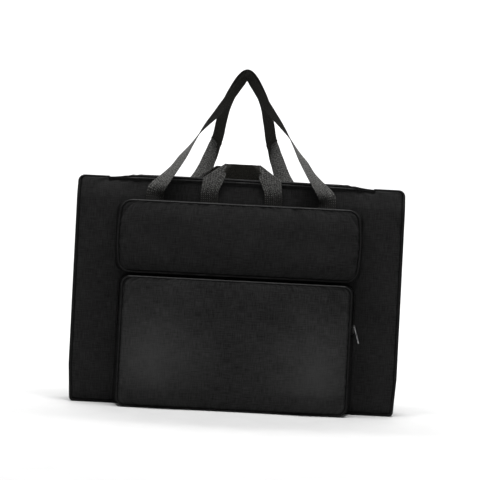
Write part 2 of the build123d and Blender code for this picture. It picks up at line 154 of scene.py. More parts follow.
# ---------------------------------------------------------------- pieces
class Piece:
    """Collects geometry in mm, with a material for each part, and makes one Blender object of it."""

    def __init__(self, name, slot):
        self.name = name
        self.slot = slot
        self.points = []
        self.uvs = []
        self.faces = []
        self.face_materials = []
        self.materials = []
        self.count = 0

    def slot_of(self, material):
        if material not in self.materials:
            self.materials.append(material)
        return self.materials.index(material)

    def add(self, points, faces, material, uv=None):
        points = np.asarray(points, float).reshape(-1, 3)
        index = self.slot_of(material)
        if uv is None:
            uv = points[:, [0, 2]] * MM
        self.points.append(points)
        self.uvs.append(np.asarray(uv, float).reshape(-1, 2))
        for face in faces:
            self.faces.append([int(k) + self.count for k in face])
            self.face_materials.append(index)
        self.count += len(points)

    def graft(self, part, place, material):
        """Adds another piece's geometry, moved by place."""
        self.add(place(np.vstack(part.points)), part.faces, material)

    def make(self, body=None, blend=None, replaces=()):
        points = np.vstack(self.points) * MM
        uvs = np.vstack(self.uvs)
        mesh = bpy.data.meshes.new(self.name)
        mesh.from_pydata(points.tolist(), [], self.faces)
        mesh.polygons.foreach_set("material_index", self.face_materials)
        mesh.polygons.foreach_set("use_smooth", [True] * len(mesh.polygons))
        loops = np.zeros(len(mesh.loops), np.int32)
        mesh.loops.foreach_get("vertex_index", loops)
        layer = mesh.uv_layers.new(name="UVMap")
        layer.data.foreach_set("uv", uvs[loops].astype(np.float32).ravel())
        for material in self.materials:
            mesh.materials.append(material)
        mesh.validate()
        mesh.update()
        obj = bpy.data.objects.new(self.name, mesh)
        bpy.context.scene.collection.objects.link(obj)
        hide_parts(*replaces)
        if blend:
            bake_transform(obj)
        else:
            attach(obj, body)
        return obj


def grid_faces(nu, nv, closed_u=False, closed_v=False, flip=False, start=0):
    iu = np.arange(nu if closed_u else nu - 1)
    iv = np.arange(nv if closed_v else nv - 1)
    a, b = np.meshgrid(iu, iv, indexing="ij")
    a2 = (a + 1) % nu
    b2 = (b + 1) % nv
    quads = np.stack([a * nv + b, a2 * nv + b, a2 * nv + b2, a * nv + b2], axis=-1).reshape(-1, 4)
    if flip:
        quads = quads[:, ::-1]
    return quads + start


def grid_normals(p, flip=False):
    normals = unit(np.cross(np.gradient(p, axis=0), np.gradient(p, axis=1)))
    return normals * (-1 if flip else 1)


def grid_uv(p):
    du = np.linalg.norm(np.diff(p, axis=0), axis=2).mean(axis=1)
    dv = np.linalg.norm(np.diff(p, axis=1), axis=2).mean(axis=0)
    return uv_grid(np.concatenate([[0], np.cumsum(du)]), np.concatenate([[0], np.cumsum(dv)]))


def repaint(piece, first, faces, marked, material):
    """Gives a second material to the faces added from `first` on whose points are mostly marked."""
    index = piece.slot_of(material)
    for k, face in enumerate(faces):
        if marked[np.asarray(face)].mean() > 0.5:
            piece.face_materials[first + k] = index


def add_cloth(piece, p, thick, material, flip=False, marked=None, second=None):
    """A cloth of some thickness. Its outer side is the grid, and its edges are closed.

    marked is a grid of the points that take the second material.
    """
    nu, nv = p.shape[:2]
    inner = p - grid_normals(p, flip) * thick
    points = np.concatenate([p.reshape(-1, 3), inner.reshape(-1, 3)])
    uvs = np.tile(grid_uv(p).reshape(-1, 2), (2, 1))
    index = np.arange(nu * nv).reshape(nu, nv)
    faces = [grid_faces(nu, nv, flip=flip), grid_faces(nu, nv, flip=not flip, start=nu * nv)]
    edges = ((index[:, 0], False), (index[:, -1], True), (index[0], True), (index[-1], False))
    for row, turn in edges:
        a, b = row[:-1], row[1:]
        quads = np.stack([b, a, a + nu * nv, b + nu * nv], axis=1)
        faces.append(quads[:, ::-1] if turn != flip else quads)
    faces = np.vstack(faces)
    first = len(piece.face_materials)
    piece.add(points, faces, material, uvs)
    if marked is not None:
        repaint(piece, first, faces, np.tile(marked.reshape(-1), 2), second)


def capped(count, sides, closed=False, flip=False):
    """The faces of a tube of rings, with an end cap at each end unless it is closed."""
    faces = grid_faces(count, sides, closed, closed_v=True, flip=flip).tolist()
    if not closed:
        turn = -1 if not flip else 1
        faces.append(list(range(sides))[::turn])
        faces.append([(count - 1) * sides + k for k in range(sides)][::-turn])
    return faces


def section_sweep(piece, centres, axis_a, axis_b, profile, material, closed=False):
    """Sweeps a closed (a, b) profile along centres. Axis arrays give each section's frame."""
    prof = np.asarray(profile, float)
    p = centres[:, None] + axis_a[:, None] * prof[None, :, :1] + axis_b[:, None] * prof[None, :, 1:]
    piece.add(p, capped(len(centres), len(prof), closed), material, uv_grid(run(centres), run(prof)))
    return piece


def tube(piece, centres, radius, material, closed=False, sides=10, up=(0, 1, 0)):
    """A round tube along a path; up is never parallel to the path."""
    t = tangents(centres, closed)
    a = unit(np.cross(t, np.asarray(up, float)))
    return section_sweep(piece, centres, a, np.cross(t, a), circle(radius, sides)[::-1], material, closed)


def stitches(piece, path, lift, step=3.6, length=2.7, radius=0.3, closed=False):
    """A row of separate stitches lying on a surface, whose normals are lift."""
    p = np.asarray(path, float)
    lift = np.broadcast_to(np.asarray(lift, float), p.shape)
    both = resample(np.hstack([p, lift]), step, closed)
    centres = both[:, :3]
    n = unit(both[:, 3:])
    t = tangents(centres, closed)
    side = unit(np.cross(n, t))
    rings = ((-0.5, 0.25), (-0.36, 0.85), (0, 1.0), (0.36, 0.85), (0.5, 0.25))
    parts = []
    for place, fat in rings:
        for c, s in circle(radius * fat, 6):
            parts.append(centres + t * place * length + side * c + n * s * 0.8)
    pts = np.stack(parts, axis=1)
    one = capped(len(rings), 6)
    faces = [[v + k * pts.shape[1] for v in f] for k in range(len(centres)) for f in one]
    piece.add(pts, faces, THREAD)


# ---------------------------------------------------------------- materials
class Nodes:
    """A small helper for building a material's node tree."""

    def __init__(self, name):
        self.material = bpy.data.materials.new(name)
        self.material.use_nodes = True
        self.tree = self.material.node_tree
        self.tree.nodes.clear()
        self.shader = self.node("ShaderNodeBsdfPrincipled")
        output = self.node("ShaderNodeOutputMaterial")
        self.link(self.shader.outputs["BSDF"], output.inputs["Surface"])
        self.coords = self.node("ShaderNodeTexCoord")

    def node(self, kind, **values):
        node = self.tree.nodes.new(kind)
        for key, value in values.items():
            setattr(node, key, value)
        return node

    def link(self, a, b):
        self.tree.links.new(a, b)

    def scaled(self, kind, scale):
        mapping = self.node("ShaderNodeMapping")
        mapping.inputs["Scale"].default_value = scale
        self.link(self.coords.outputs[kind], mapping.inputs["Vector"])
        return mapping.outputs["Vector"]

    def noise(self, vector, scale, detail=3.0, rough=0.55):
        node = self.node("ShaderNodeTexNoise")
        node.inputs["Scale"].default_value = scale
        node.inputs["Detail"].default_value = detail
        node.inputs["Roughness"].default_value = rough
        self.link(vector, node.inputs["Vector"])
        return node.outputs["Fac"]

    def wave(self, vector, scale, direction, distortion=0.0):
        node = self.node("ShaderNodeTexWave", bands_direction=direction)
        node.inputs["Scale"].default_value = scale
        node.inputs["Distortion"].default_value = distortion
        self.link(vector, node.inputs["Vector"])
        return node.outputs["Fac"]

    def combine(self, operation, a, b):
        node = self.node("ShaderNodeMath", operation=operation)
        for socket, value in zip(node.inputs, (a, b)):
            if hasattr(value, "is_output"):
                self.link(value, socket)
            else:
                socket.default_value = value
        return node.outputs[0]

    def times(self, a, b):
        return self.combine("MULTIPLY", a, b)

    def plus(self, first, *rest):
        for term in rest:
            first = self.combine("ADD", first, term)
        return first

    def spread(self, value, low, high, to_low, to_high):
        node = self.node("ShaderNodeMapRange")
        self.link(value, node.inputs["Value"])
        node.inputs["From Min"].default_value = low
        node.inputs["From Max"].default_value = high
        node.inputs["To Min"].default_value = to_low
        node.inputs["To Max"].default_value = to_high
        return node.outputs["Result"]

    def ramp(self, value, dark, light, low=0.3, high=0.7):
        node = self.node("ShaderNodeValToRGB")
        first, last = node.color_ramp.elements
        first.position = low
        first.color = (*dark, 1)
        last.position = high
        last.color = (*light, 1)
        self.link(value, node.inputs["Fac"])
        return node.outputs["Color"]

    def finish(self, colour, rough, height, distance, specular, metallic=0.0):
        self.link(colour, self.shader.inputs["Base Color"])
        self.link(rough, self.shader.inputs["Roughness"])
        bump = self.node("ShaderNodeBump")
        bump.inputs["Distance"].default_value = distance
        bump.inputs["Strength"].default_value = 1.0
        self.link(height, bump.inputs["Height"])
        self.link(bump.outputs["Normal"], self.shader.inputs["Normal"])
        self.shader.inputs["Specular IOR Level"].default_value = specular
        self.shader.inputs["Metallic"].default_value = metallic
        return self.material


# Blender's wave repeats every 2*pi/20 units at scale 1, so this over a pitch gives one band a pitch.
WAVE = 2 * math.pi / 20


def woven(name, dark, light, pitch=0.9, specular=0.2, slub=1.0, painted_light=()):
    """Plain-weave cloth: crossing threads of uneven thickness, slubs, and slow variation in tone.

    painted_light lists (x, z, radius) in metres, where the cloth bulges; there the colour is painted paler, a
    painted highlight of the light the bulges catch.
    """
    n = Nodes(name)
    uv = n.scaled("UV", (1, 1, 1))
    across, along = (n.wave(uv, WAVE / (pitch * MM), way, 0.6) for way in "XY")
    weave = n.times(across, along)
    slubs = [n.noise(n.scaled("UV", scale), 1.0, 2.0) for scale in ((720, 52, 300), (52, 720, 300))]
    cross = n.plus(*(n.times(way, 0.5) for way in slubs))
    slow = n.noise(n.scaled("UV", (14, 14, 14)), 1.0, 4.0)
    share = 0.5 + 0.34 * slub
    tone = n.plus(n.times(cross, share), n.times(slow, 1 - share), n.times(weave, 0.05))
    # Each patch paints the cloth paler: a painted highlight.
    for x, z, radius in painted_light:
        place = n.node("ShaderNodeMapping")
        place.vector_type = "TEXTURE"
        place.inputs["Location"].default_value = (x, -0.07, z)
        place.inputs["Scale"].default_value = (radius, 1.0, radius * 1.05)
        n.link(n.coords.outputs["Object"], place.inputs["Vector"])
        fade = n.node("ShaderNodeTexGradient", gradient_type="QUADRATIC_SPHERE")
        n.link(place.outputs["Vector"], fade.inputs["Vector"])
        tone = n.plus(tone, n.times(fade.outputs["Fac"], 0.3))
    colour = n.ramp(tone, dark, light, 0.38, 0.66 if not painted_light else 0.8)
    roughness = n.spread(tone, 0.3, 0.7, 0.9, 0.72)
    height = n.plus(n.times(weave, 0.6), n.times(cross, 0.8))
    return n.finish(colour, roughness, height, 0.00035, specular)


def webbing_material(name, dark, light):
    """Ribbed webbing: a staggered pattern of crossing yarns over the cords."""
    yarn_pitch = 3.8 * 0.72
    n = Nodes(name)
    uv = n.scaled("UV", (1, 1, 1))
    crossing = []
    for turn in (0.78, -0.78):
        mapping = n.node("ShaderNodeMapping")
        mapping.inputs["Rotation"].default_value = (0, 0, turn)
        n.link(uv, mapping.inputs["Vector"])
        crossing.append(n.wave(mapping.outputs["Vector"], WAVE / (yarn_pitch * MM), "X", 0.8))
    weave = n.times(*crossing)
    fleck = n.noise(n.scaled("UV", (420, 700, 300)), 1.0, 2.0)
    slow = n.noise(n.scaled("UV", (190, 260, 30)), 1.0, 2.0)
    hatch = n.noise(n.scaled("UV", (430, 230, 300)), 1.0, 1.0)
    cords = n.wave(uv, WAVE / (WEBBING / RIBS * MM), "Y", 0.2)
    split = n.node("ShaderNodeSeparateXYZ")
    n.link(n.coords.outputs["Object"], split.inputs["Vector"])
    # Below about 0.4 m the webbing is painted darker: painted shade on the upright feet, which face away from
    # the light above.
    foot_shade = n.spread(split.outputs["Z"], 0.396, 0.416, -0.13, 0.0)
    yarns = n.times(n.times(weave, cords), 0.26)
    tone = n.plus(n.times(fleck, 0.3), n.times(slow, 0.2), n.times(hatch, 0.33), yarns, foot_shade)
    colour = n.ramp(tone, dark, light, 0.36, 0.76)
    roughness = n.spread(tone, 0.3, 0.7, 0.85, 0.66)
    height = n.plus(weave, n.times(fleck, 0.5))
    return n.finish(colour, roughness, height, 0.0004, 0.12)


def metal_material(name):
    """Plated zip hardware with fine scratches and a little tarnish."""
    n = Nodes(name)
    scratch = n.noise(n.scaled("Object", (400, 2600, 900)), 1.0, 3.0)
    tarnish = n.noise(n.scaled("Object", (180, 180, 180)), 1.0, 4.0)
    colour = n.ramp(tarnish, (0.44, 0.44, 0.45), (0.78, 0.78, 0.8))
    roughness = n.spread(scratch, 0.3, 0.7, 0.18, 0.38)
    return n.finish(colour, roughness, scratch, 0.00005, 0.5, metallic=1.0)


def plain_material(name, dark, light, rough=(0.5, 0.7), grain=300.0, depth=0.0001, specular=0.3):
    """A moulded or painted surface with a fine grain."""
    n = Nodes(name)
    fine = n.noise(n.scaled("Object", (grain, grain, grain)), 1.0, 4.0)
    slow = n.noise(n.scaled("Object", (12, 12, 12)), 1.0, 3.0)
    colour = n.ramp(n.plus(n.times(fine, 0.5), n.times(slow, 0.5)), dark, light)
    return n.finish(colour, n.spread(fine, 0.3, 0.7, *rough), fine, depth, specular)


def grey(value, warm=0.0):
    return (value * (1 + warm), value * (1 + warm * 0.6), value * (1 - warm))


FABRIC = woven("black_weave", grey(0.0052), grey(0.0185), specular=0.08)
# Painted highlights on the lower pocket's two lobes, where they bulge into the light.
LIT_PATCHES = ((-0.155, 0.095, 0.175), (0.155, 0.08, 0.165))
LIT_PATCH_WEAVE = woven("lit_patch_weave", grey(0.0052), grey(0.034), specular=0.08, painted_light=LIT_PATCHES)
# Darker cloth for painted shade on the pocket gussets and in the grooves beside the piping.
SHADE_CLOTH = woven("shade_weave", grey(0.0018), grey(0.0075), specular=0.05)
# The piping cord is darker than the body cloth: painted shade, so that it joins the dark band of shade along
# each seam.
SHADE_PIPING = woven("shade_piping_cloth", grey(0.0025), grey(0.014), pitch=0.7, slub=0.6, specular=0.12)
# Paler cloth for painted highlights on the hem's forward ridges and along the top of the pocket piping.
HIGHLIGHT_HEM = woven("highlight_hem", grey(0.018), grey(0.05), specular=0.1)
LINING = woven("lining_cloth", grey(0.012), grey(0.026), pitch=0.4, slub=0.3, specular=0.2)
TAPE = woven("zip_tape", grey(0.004), grey(0.014), pitch=0.6, slub=0.4, specular=0.1)
STRAP = webbing_material("webbing", grey(0.014, 0.04), grey(0.2, 0.02))
# A darker copy of the webbing: painted shade for faces turned away from the light.
SHADE_STRAP = webbing_material("webbing_shade", grey(0.006, 0.12), grey(0.035, 0.12))
THREAD = plain_material("thread", grey(0.002), grey(0.006), grain=2500.0, depth=0.00005, specular=0.1)
COIL = plain_material("zip_coil", grey(0.008), grey(0.02), (0.3, 0.5), grain=900.0, specular=0.5)
BOARD = plain_material("board", grey(0.08), grey(0.14), (0.6, 0.8), grain=160.0)
METAL = metal_material("zip_metal")
ENAMEL = plain_material(
    "slider_enamel", grey(0.012), grey(0.022), (0.28, 0.42), grain=500.0, depth=0.00003, specular=0.5
)


# ---------------------------------------------------------------- cloth simulation
CLOTH_STIFFNESS = 12.0
CLOTH_FRAMES = 20


def pressed(p, pressure, shrink, cap):
    """How far a cloth grid moves when it is held at its border and pressed outwards, up to a cap."""
    nu, nv = p.shape[:2]
    mesh = bpy.data.meshes.new("sim")
    mesh.from_pydata((p.reshape(-1, 3) * MM).tolist(), [], grid_faces(nu, nv).tolist())
    obj = bpy.data.objects.new("sim", mesh)
    bpy.context.scene.collection.objects.link(obj)
    index = np.arange(nu * nv).reshape(nu, nv)
    held = np.setdiff1d(index, index[1:-1, 1:-1]).tolist()
    group = obj.vertex_groups.new(name="held")
    group.add(held, 1.0, "REPLACE")
    modifier = obj.modifiers.new("Cloth", "CLOTH")
    settings = modifier.settings
    settings.quality = 6
    settings.mass = 0.3
    settings.tension_stiffness = CLOTH_STIFFNESS
    settings.compression_stiffness = CLOTH_STIFFNESS
    settings.shear_stiffness = CLOTH_STIFFNESS / 2
    settings.bending_stiffness = 0.4
    settings.use_pressure = True
    settings.uniform_pressure_force = pressure
    settings.vertex_group_mass = "held"
    settings.shrink_min = shrink
    settings.effector_weights.gravity = 0.0
    modifier.point_cache.frame_end = CLOTH_FRAMES
    scene = bpy.context.scene
    for step in range(1, CLOTH_FRAMES + 1):
        scene.frame_set(step)
        bpy.context.view_layer.update()
    evaluated = obj.evaluated_get(bpy.context.evaluated_depsgraph_get())
    co = np.zeros(nu * nv * 3, np.float32)
    evaluated.data.vertices.foreach_get("co", co)
    scene.frame_set(1)
    bpy.data.objects.remove(obj)
    moved = co.reshape(nu, nv, 3) / MM - p
    length = np.linalg.norm(moved, axis=2, keepdims=True)
    return moved * cap * np.tanh(length / cap) / np.maximum(length, 1e-9)


# ---------------------------------------------------------------- the body's outline
def panel_y(z):
    """The front panel's plane: upright, then leaning back above the taper."""
    share = np.clip((np.asarray(z, float) - TAPER_START) / (TOP - TAPER_START), 0, 1)
    return -(HALF_DEPTH + (HALF_TOP - HALF_DEPTH) * share)


def half_width(z):
    pull = np.clip(1 - np.asarray(z, float) / PULL_IN_HEIGHT, 0, 1)
    return HALF_WIDTH - SIDE_PULL_IN * pull


def rounded_half(z, low, high, half, radius_low, radius_high):
    """Half-width at height z of a rectangle with rounded corners."""
    z = np.asarray(z, float)
    cut = np.zeros_like(z)
    for edge, radius, sign in ((low, radius_low, 1), (high, radius_high, -1)):
        depth = np.clip(radius - sign * (z - edge), 0, radius)
        cut = np.maximum(cut, radius - np.sqrt(np.maximum(radius**2 - depth**2, 0)))
    return half - cut


def corner_rows(low, high, radius_low, radius_high, count):
    """Heights for grid rows, closer together where corners are rounded."""
    a = low + radius_low * (1 - np.cos(np.linspace(0, math.pi / 2, 7)))
    b = np.linspace(low + radius_low, high - radius_high, count)[1:-1]
    c = high - radius_high * (1 - np.cos(np.linspace(math.pi / 2, 0, 7)))
    return np.concatenate([a, b, c])


def toward_edges(count):
    """Places from -1 to 1 that crowd together at both ends, where the seams are."""
    even = np.linspace(-1, 1, count)
    return 0.18 * even + 0.82 * np.sin(even * math.pi / 2)


def arc(cx, cz, radius, start, end, count=9):
    turn = np.radians(np.linspace(start, end, count))
    return [(cx + radius * math.cos(a), cz + radius * math.sin(a)) for a in turn]


def body_path(inset, start_x=MOUTH_HALF):
    """(x, z) points from the left end of the mouth, down, along the floor and up to its right end."""
    top = TOP - inset
    low = inset
    side = HALF_WIDTH - inset
    foot = HALF_WIDTH - SIDE_PULL_IN - inset
    r_top = TOP_CORNER - inset
    r_low = max(BOTTOM_CORNER - inset, 1.0)
    left = [(-start_x, top)]
    left += arc(-side + r_top, top - r_top, r_top, 90, 180)
    left += [(-side, PULL_IN_HEIGHT)]
    left += arc(-foot + r_low, low + r_low, r_low, 180, 270)
    right = [(-x, z) for x, z in reversed(left)]
    return np.array(left + right)


def path_normals(path, closed=False):
    """Outward normals of an (x, z) path that runs anticlockwise."""
    t = tangents(path, closed)
    return np.stack([t[:, 1], -t[:, 0]], axis=1)


# ---------------------------------------------------------------- body panels
# (x, depth) of the upright creases below the strap ends.
CREASES = ((-170, 0.9), (-128, 0.6), (-84, 0.7), (-38, 0.7), (40, 0.7), (82, 0.7), (130, 0.6), (172, 0.9))


def body_panel(name, side, seed, replaces):
    """One large panel, pillowed a little between its seams; side is -1 for the front."""
    low = PIPING
    high = TOP - PIPING
    corners = (BOTTOM_CORNER - PIPING, TOP_CORNER - PIPING)
    rows = corner_rows(low, high, *corners, 76)
    half = rounded_half(rows, low, high, half_width(rows) - PIPING, *corners)
    u = toward_edges(121)
    x = u[:, None] * half[None, :]
    z = np.broadcast_to(rows[None, :], x.shape).copy()
    # Between the zip's ends the panel stops lower, under the lip's hem.
    mouth = 1 - smoothstep(np.abs(x), MOUTH_HALF - 3, MOUTH_HALF + 3)
    z -= mouth * smoothstep(z, 300, high) * (high - (LIP_SEAM - 0.8))
    p = xyz(x, side * np.abs(panel_y(z)), z)
    edge_x = 1 - np.abs(u)[:, None] ** 2.2
    edge_z = 1 - np.abs((rows - (low + high) / 2) / ((high - low) / 2))[None, :] ** 2.6
    inside = np.clip(edge_x, 0, 1) * np.clip(edge_z, 0, 1)
    swell = 3.6 * inside**0.7
    folds = 0.9 * ripple(x, z * 0.6, seed, 150) + 0.35 * ripple(x * 1.4, z, seed + 1, 48)
    # Shallow upright creases run down from the strap ends, and side seams pucker a little.
    # The boards keep the cloth flat where the straps are sewn on.
    free = 1 - 0.88 * smoothstep(z, 262, 326) * (1 - smoothstep(np.abs(x), 195, 235))
    swell = swell * free
    folds = folds * free
    from_seam = np.minimum(half[None, :] - np.abs(x), z - low)
    groove = 2.2 * smoothstep(from_seam, 0.2, 1.6) * (1 - smoothstep(from_seam, 2.6, 5.5))
    near_edge = np.exp(-((half[None, :] - np.abs(x)) / 16) ** 2)
    pucker = 0.5 * near_edge * np.sin(z / 7.5 + 2 * ripple(x, z, seed + 2, 90))
    creases = np.zeros_like(x)
    reach = smoothstep(z, 368, 392) * (1 - smoothstep(z, 408, 422))
    for at, deep in CREASES:
        creases += deep * reach * np.exp(-((x - at) / 5.0) ** 2)
    p[..., 1] += side * (swell + folds * inside**0.35 + (pucker - creases) * np.clip(inside * 8, 0, 1))
    p[..., 1] -= side * groove
    moved = pressed(p[::2, ::2], -6.0 * side, -0.012, 2.5)
    moved = cubic(cubic(moved, p.shape[0], 0), p.shape[1], 1)
    moved[..., 1] = side * np.maximum(side * moved[..., 1], -0.2)
    p = p + moved * free[..., None]
    piece = Piece(name, "fabric")
    # The groove beside the piping is painted darker: painted shade.
    seam_shade = (from_seam > 1.0) & (from_seam < 4.0)
    add_cloth(piece, p, 1.4, FABRIC, flip=side > 0, marked=seam_shade, second=SHADE_CLOTH)
    seam = resample(body_path(PIPING + 4.0, 256), 3.0)
    seam = xyz(seam[:, 0], 0, seam[:, 1])
    seam[:, 1] = nearest_y(p, seam) + side * 0.15
    stitches(piece, seam, (0, side, 0))
    return piece.make("root", replaces=replaces)


def nearest_y(p, path):
    """The y of a grid's nearest point to each (x, z) of a path."""
    flat = p.reshape(-1, 3)
    out = np.zeros(len(path))
    for k, (x, _, z) in enumerate(path):
        d = (flat[:, 0] - x) ** 2 + (flat[:, 2] - z) ** 2
        best = np.argpartition(d, 4)[:4]
        w = 1 / (d[best] + 0.05)
        out[k] = (flat[best, 1] * w).sum() / w.sum()
    return out


def body_piping(name, side, replaces):
    path = resample(body_path(1.55), 2.5)
    wobble = 0.25 * ripple(path[:, 0], path[:, 1], 31 + side, 60)
    y = side * (np.abs(panel_y(path[:, 1])) - 1.35)
    centres = xyz(path[:, 0] + wobble * 0.4, y + side * wobble, path[:, 1])
    piece = Piece(name, "piping")
    tube(piece, centres, 1.6, SHADE_PIPING, sides=12)
    return piece.make("root", replaces=replaces)


def body_gusset():
    """One band from one end of the mouth round the floor to the other, with the zip's channels."""
    path = resample(body_path(0.6), 3.0)
    n2 = path_normals(path)
    t = np.concatenate([np.linspace(-1, -0.42, 10), np.linspace(-0.4, 0.4, 19), np.linspace(0.42, 1, 10)])
    half = np.abs(panel_y(path[:, 1])) - 2.2
    y = half[:, None] * t[None, :]
    x = path[:, None, 0]
    z = path[:, None, 1]
    on_side = smoothstep(z, 10, 40) * (1 - smoothstep(z, 404, 420))
    pull = 1 - t[None, :] ** 2
    sag = on_side * pull * (2.6 + 0.9 * ripple(y * 2.5, z, 41, 85))
    sag = sag + 0.35 * on_side * (1 - np.abs(t[None, :])) * ripple(y, z * 1.3, 43, 26)
    sag = sag + 0.5 * (1 - smoothstep(z, 4, 12)) * pull
    # The channel for the parked slider, sunk into each top end.
    on_top = smoothstep(z, TOP - 4, TOP - 1.5)
    past_end = smoothstep(np.abs(x), ZIP_END, ZIP_END + 2.5)
    sag = sag + 4.4 * on_top * (1 - past_end) * (1 - smoothstep(np.abs(y), 6.4, 8.4))
    p = xyz(x - n2[:, None, 0] * sag, y, z - n2[:, None, 1] * sag)
    piece = Piece("body_gusset", "fabric")
    add_cloth(piece, p, 1.2, FABRIC)
    normal = xyz(n2[:, 0], 0, n2[:, 1])
    for side in (-1, 1):
        row = xyz(p[:, 0, 0], side * (half - 3.2), p[:, 0, 2])
        for wall in (-1, 1):
            part = (path[:, 1] > 12) & (path[:, 0] * wall > 0)
            stitches(piece, row[part] - normal[part] * 0.15, normal[part])
    names = ("left_gusset", "right_gusset", "bottom_gusset", "left_top_end", "right_top_end")
    return piece.make("root", replaces=names)


# ---------------------------------------------------------------- zips
def zip_frame(path, normals, side, y):
    """Centre line, surface normal and sideways axis for half of a zip."""
    return xyz(path[:, 0], y, path[:, 1]), xyz(normals[:, 0], 0, normals[:, 1]), xyz(path[:, 0] * 0, side, 0)


def add_tape(piece, path, normals, side, y):
    """A woven tape; its inner edge has a bead for the coil."""
    centres, n3, across = zip_frame(path, normals, side, y)
    profile = [(1.5, -0.35), (6.6, -0.35), (6.6, 0.35), (4.1, 0.35), (3.7, 0.5), (3.3, 0.35), (1.5, 0.35)]
    if side > 0:
        profile = profile[::-1]
    section_sweep(piece, centres, across, n3, profile, TAPE)


COIL_PITCH = 1.7
COIL_WIRE = 0.42
COIL_SIDES = 8


def add_coil(piece, path, normals, side, y):
    """A nylon coil: one helix along the tape's edge."""
    length = run(path)[-1]
    turns = int(length / COIL_PITCH)
    fine = resample(np.hstack([path, normals]), length / (turns * COIL_SIDES))
    centres, n3, across = zip_frame(fine[:, :2], unit(fine[:, 2:]), side, y)
    angle = np.arange(len(centres))[:, None] * 2 * math.pi / COIL_SIDES
    line = centres + across * (1.75 + 1.3 * np.cos(angle)) + n3 * (0.75 * np.sin(angle))
    t = tangents(line)
    b = unit(np.cross(t, tangents(centres)))
    section_sweep(piece, line, np.cross(b, t), b, circle(COIL_WIRE, 5), COIL)


def zip_half(name, runs, y, nodes, **how):
    """A tape and a coil along each run (path, normals, side), as two pieces that move alike."""
    for kind, add_kind in (("tape", add_tape), ("coil", add_coil)):
        piece = Piece(f"{name}_{kind}", kind)
        for path, normals, side in runs:
            add_kind(piece, path, normals, side, y)
        piece.make(replaces=(f"{nodes}_{kind}",), **how)


def straight(x0, x1, z):
    """A level path in (x, z) with a point every 6 mm or so, and its upward normals."""
    x = np.linspace(x0, x1, max(2, int(abs(x1 - x0) / 6.0)))
    return np.stack([x, x * 0 + z], axis=1), np.stack([x * 0, x * 0 + 1], axis=1)


def main_zip():
    for side, who in ((-1, "front"), (1, "back")):
        runs = [(*straight(-LIP_HALF, LIP_HALF, ZIP_Z), side)]
        zip_half(who, runs, 0, f"{who}_zip", body=f"{who}_lip_body")
    ends = Piece("main_zip_end_coils", "coil")
    for x0, x1 in ((-ZIP_END, -MOUTH_HALF), (MOUTH_HALF, ZIP_END)):
        for side in (-1, 1):
            path, normals = straight(x0, x1, ZIP_Z)
            add_coil(ends, path, normals, side, 0)
            add_tape(ends, path, normals, side, 0)
    ends.make("root", replaces=("main_zip_ends",))


# ---------------------------------------------------------------- lips over the main zip
# (y, z) across the front hem, from its seam over the crest and down to the zip.
HEM_SECTION = [
    *((-24.2, 419.6), (-24.0, 422.0), (-24.0, 424.6), (-25.6, 425.8), (-26.2, 426.8)),
    *((-25.2, 427.8), (-23.2, 428.8), (-23.0, 429.6), (-25.0, 430.4), (-25.4, 431.2)),
    *((-24.4, 432.0), (-22.0, 432.8), (-18.8, 433.5), (-14.0, 434.0), (-10.4, 434.0)),
    *((-8.2, 433.0), (-7.0, 431.0), (-6.6, 428.4), (-6.4, 425.8), (-6.3, 424.2)),
]


def lip(side, who):
    """A rolled hem from the panel's top edge over to the zip, lower towards the zip's ends."""
    prof_y, prof_z = cubic(HEM_SECTION, 58).T
    x = np.linspace(-LIP_HALF, LIP_HALF, 169)[:, None]
    height = 1 - 0.55 * smoothstep(np.abs(x), 190, LIP_HALF)
    z = LIP_SEAM + (prof_z - LIP_SEAM) * np.where(prof_z > LIP_SEAM, height, 1.0)
    high = smoothstep(prof_z, 424, 433)
    z = z + 0.45 * high * ripple(x, 0 * z, 51 + side, 70) * height
    y = prof_y + 0.5 * (1 - high) * ripple(x, z, 53 + side, 46) * smoothstep(z, 420, 424)
    pucker = np.exp(-((np.abs(x) - 205) / 14) ** 2)
    z = z + pucker * high * 0.7 * np.sin(x / 2.6)
    y = y + pucker * 0.6 * np.sin(x / 2.4 + 1)
    p = xyz(x, y * -side, z)
    piece = Piece(f"{who}_lip_hem", "fabric")
    # The hem's forward ridges are painted paler: painted highlights where the light from above catches them.
    lit_ridges = (prof_y < -24.9) & (prof_z > 425) & (np.abs(x) < 214)
    add_cloth(piece, p, 0.9, FABRIC, flip=side > 0, marked=lit_ridges, second=HIGHLIGHT_HEM)
    normals = grid_normals(p, side > 0)
    for column in (17, 31):
        lift = normals[3:-3, column]
        stitches(piece, p[3:-3, column] + lift * 0.1, lift, radius=0.34)
    y0 = side * HALF_TOP * MM
    ends = ((0, y0, 0.4205), (0, y0, 0.4255))
    made = piece.make(blend=("root", f"{who}_lip_body", *ends), replaces=(f"{who}_lip",))
    return made


# ---------------------------------------------------------------- sliders and pulls
def plate(piece, outline, z0, z1, bevel, material, place):
    """A flat plate with softened edges; outline runs anticlockwise in its own (x, y)."""
    m = len(outline)
    outward = path_normals(outline, True)
    rings = ((0, z0), (bevel, z0 + bevel), (bevel, z1 - bevel), (0, z1))
    pts = [np.column_stack([outline + outward * (grow - bevel), np.full(m, z)]) for grow, z in rings]
    pts.append([(*outline.mean(axis=0), z) for z in (z0, z1)])
    faces = grid_faces(len(rings), m, closed_v=True, flip=True).tolist()
    last = (len(rings) - 1) * m
    for k in range(m):
        faces.append([(k + 1) % m, k, len(rings) * m])
        faces.append([last + k, last + (k + 1) % m, len(rings) * m + 1])
    piece.add(place(np.vstack(pts)), faces, material)


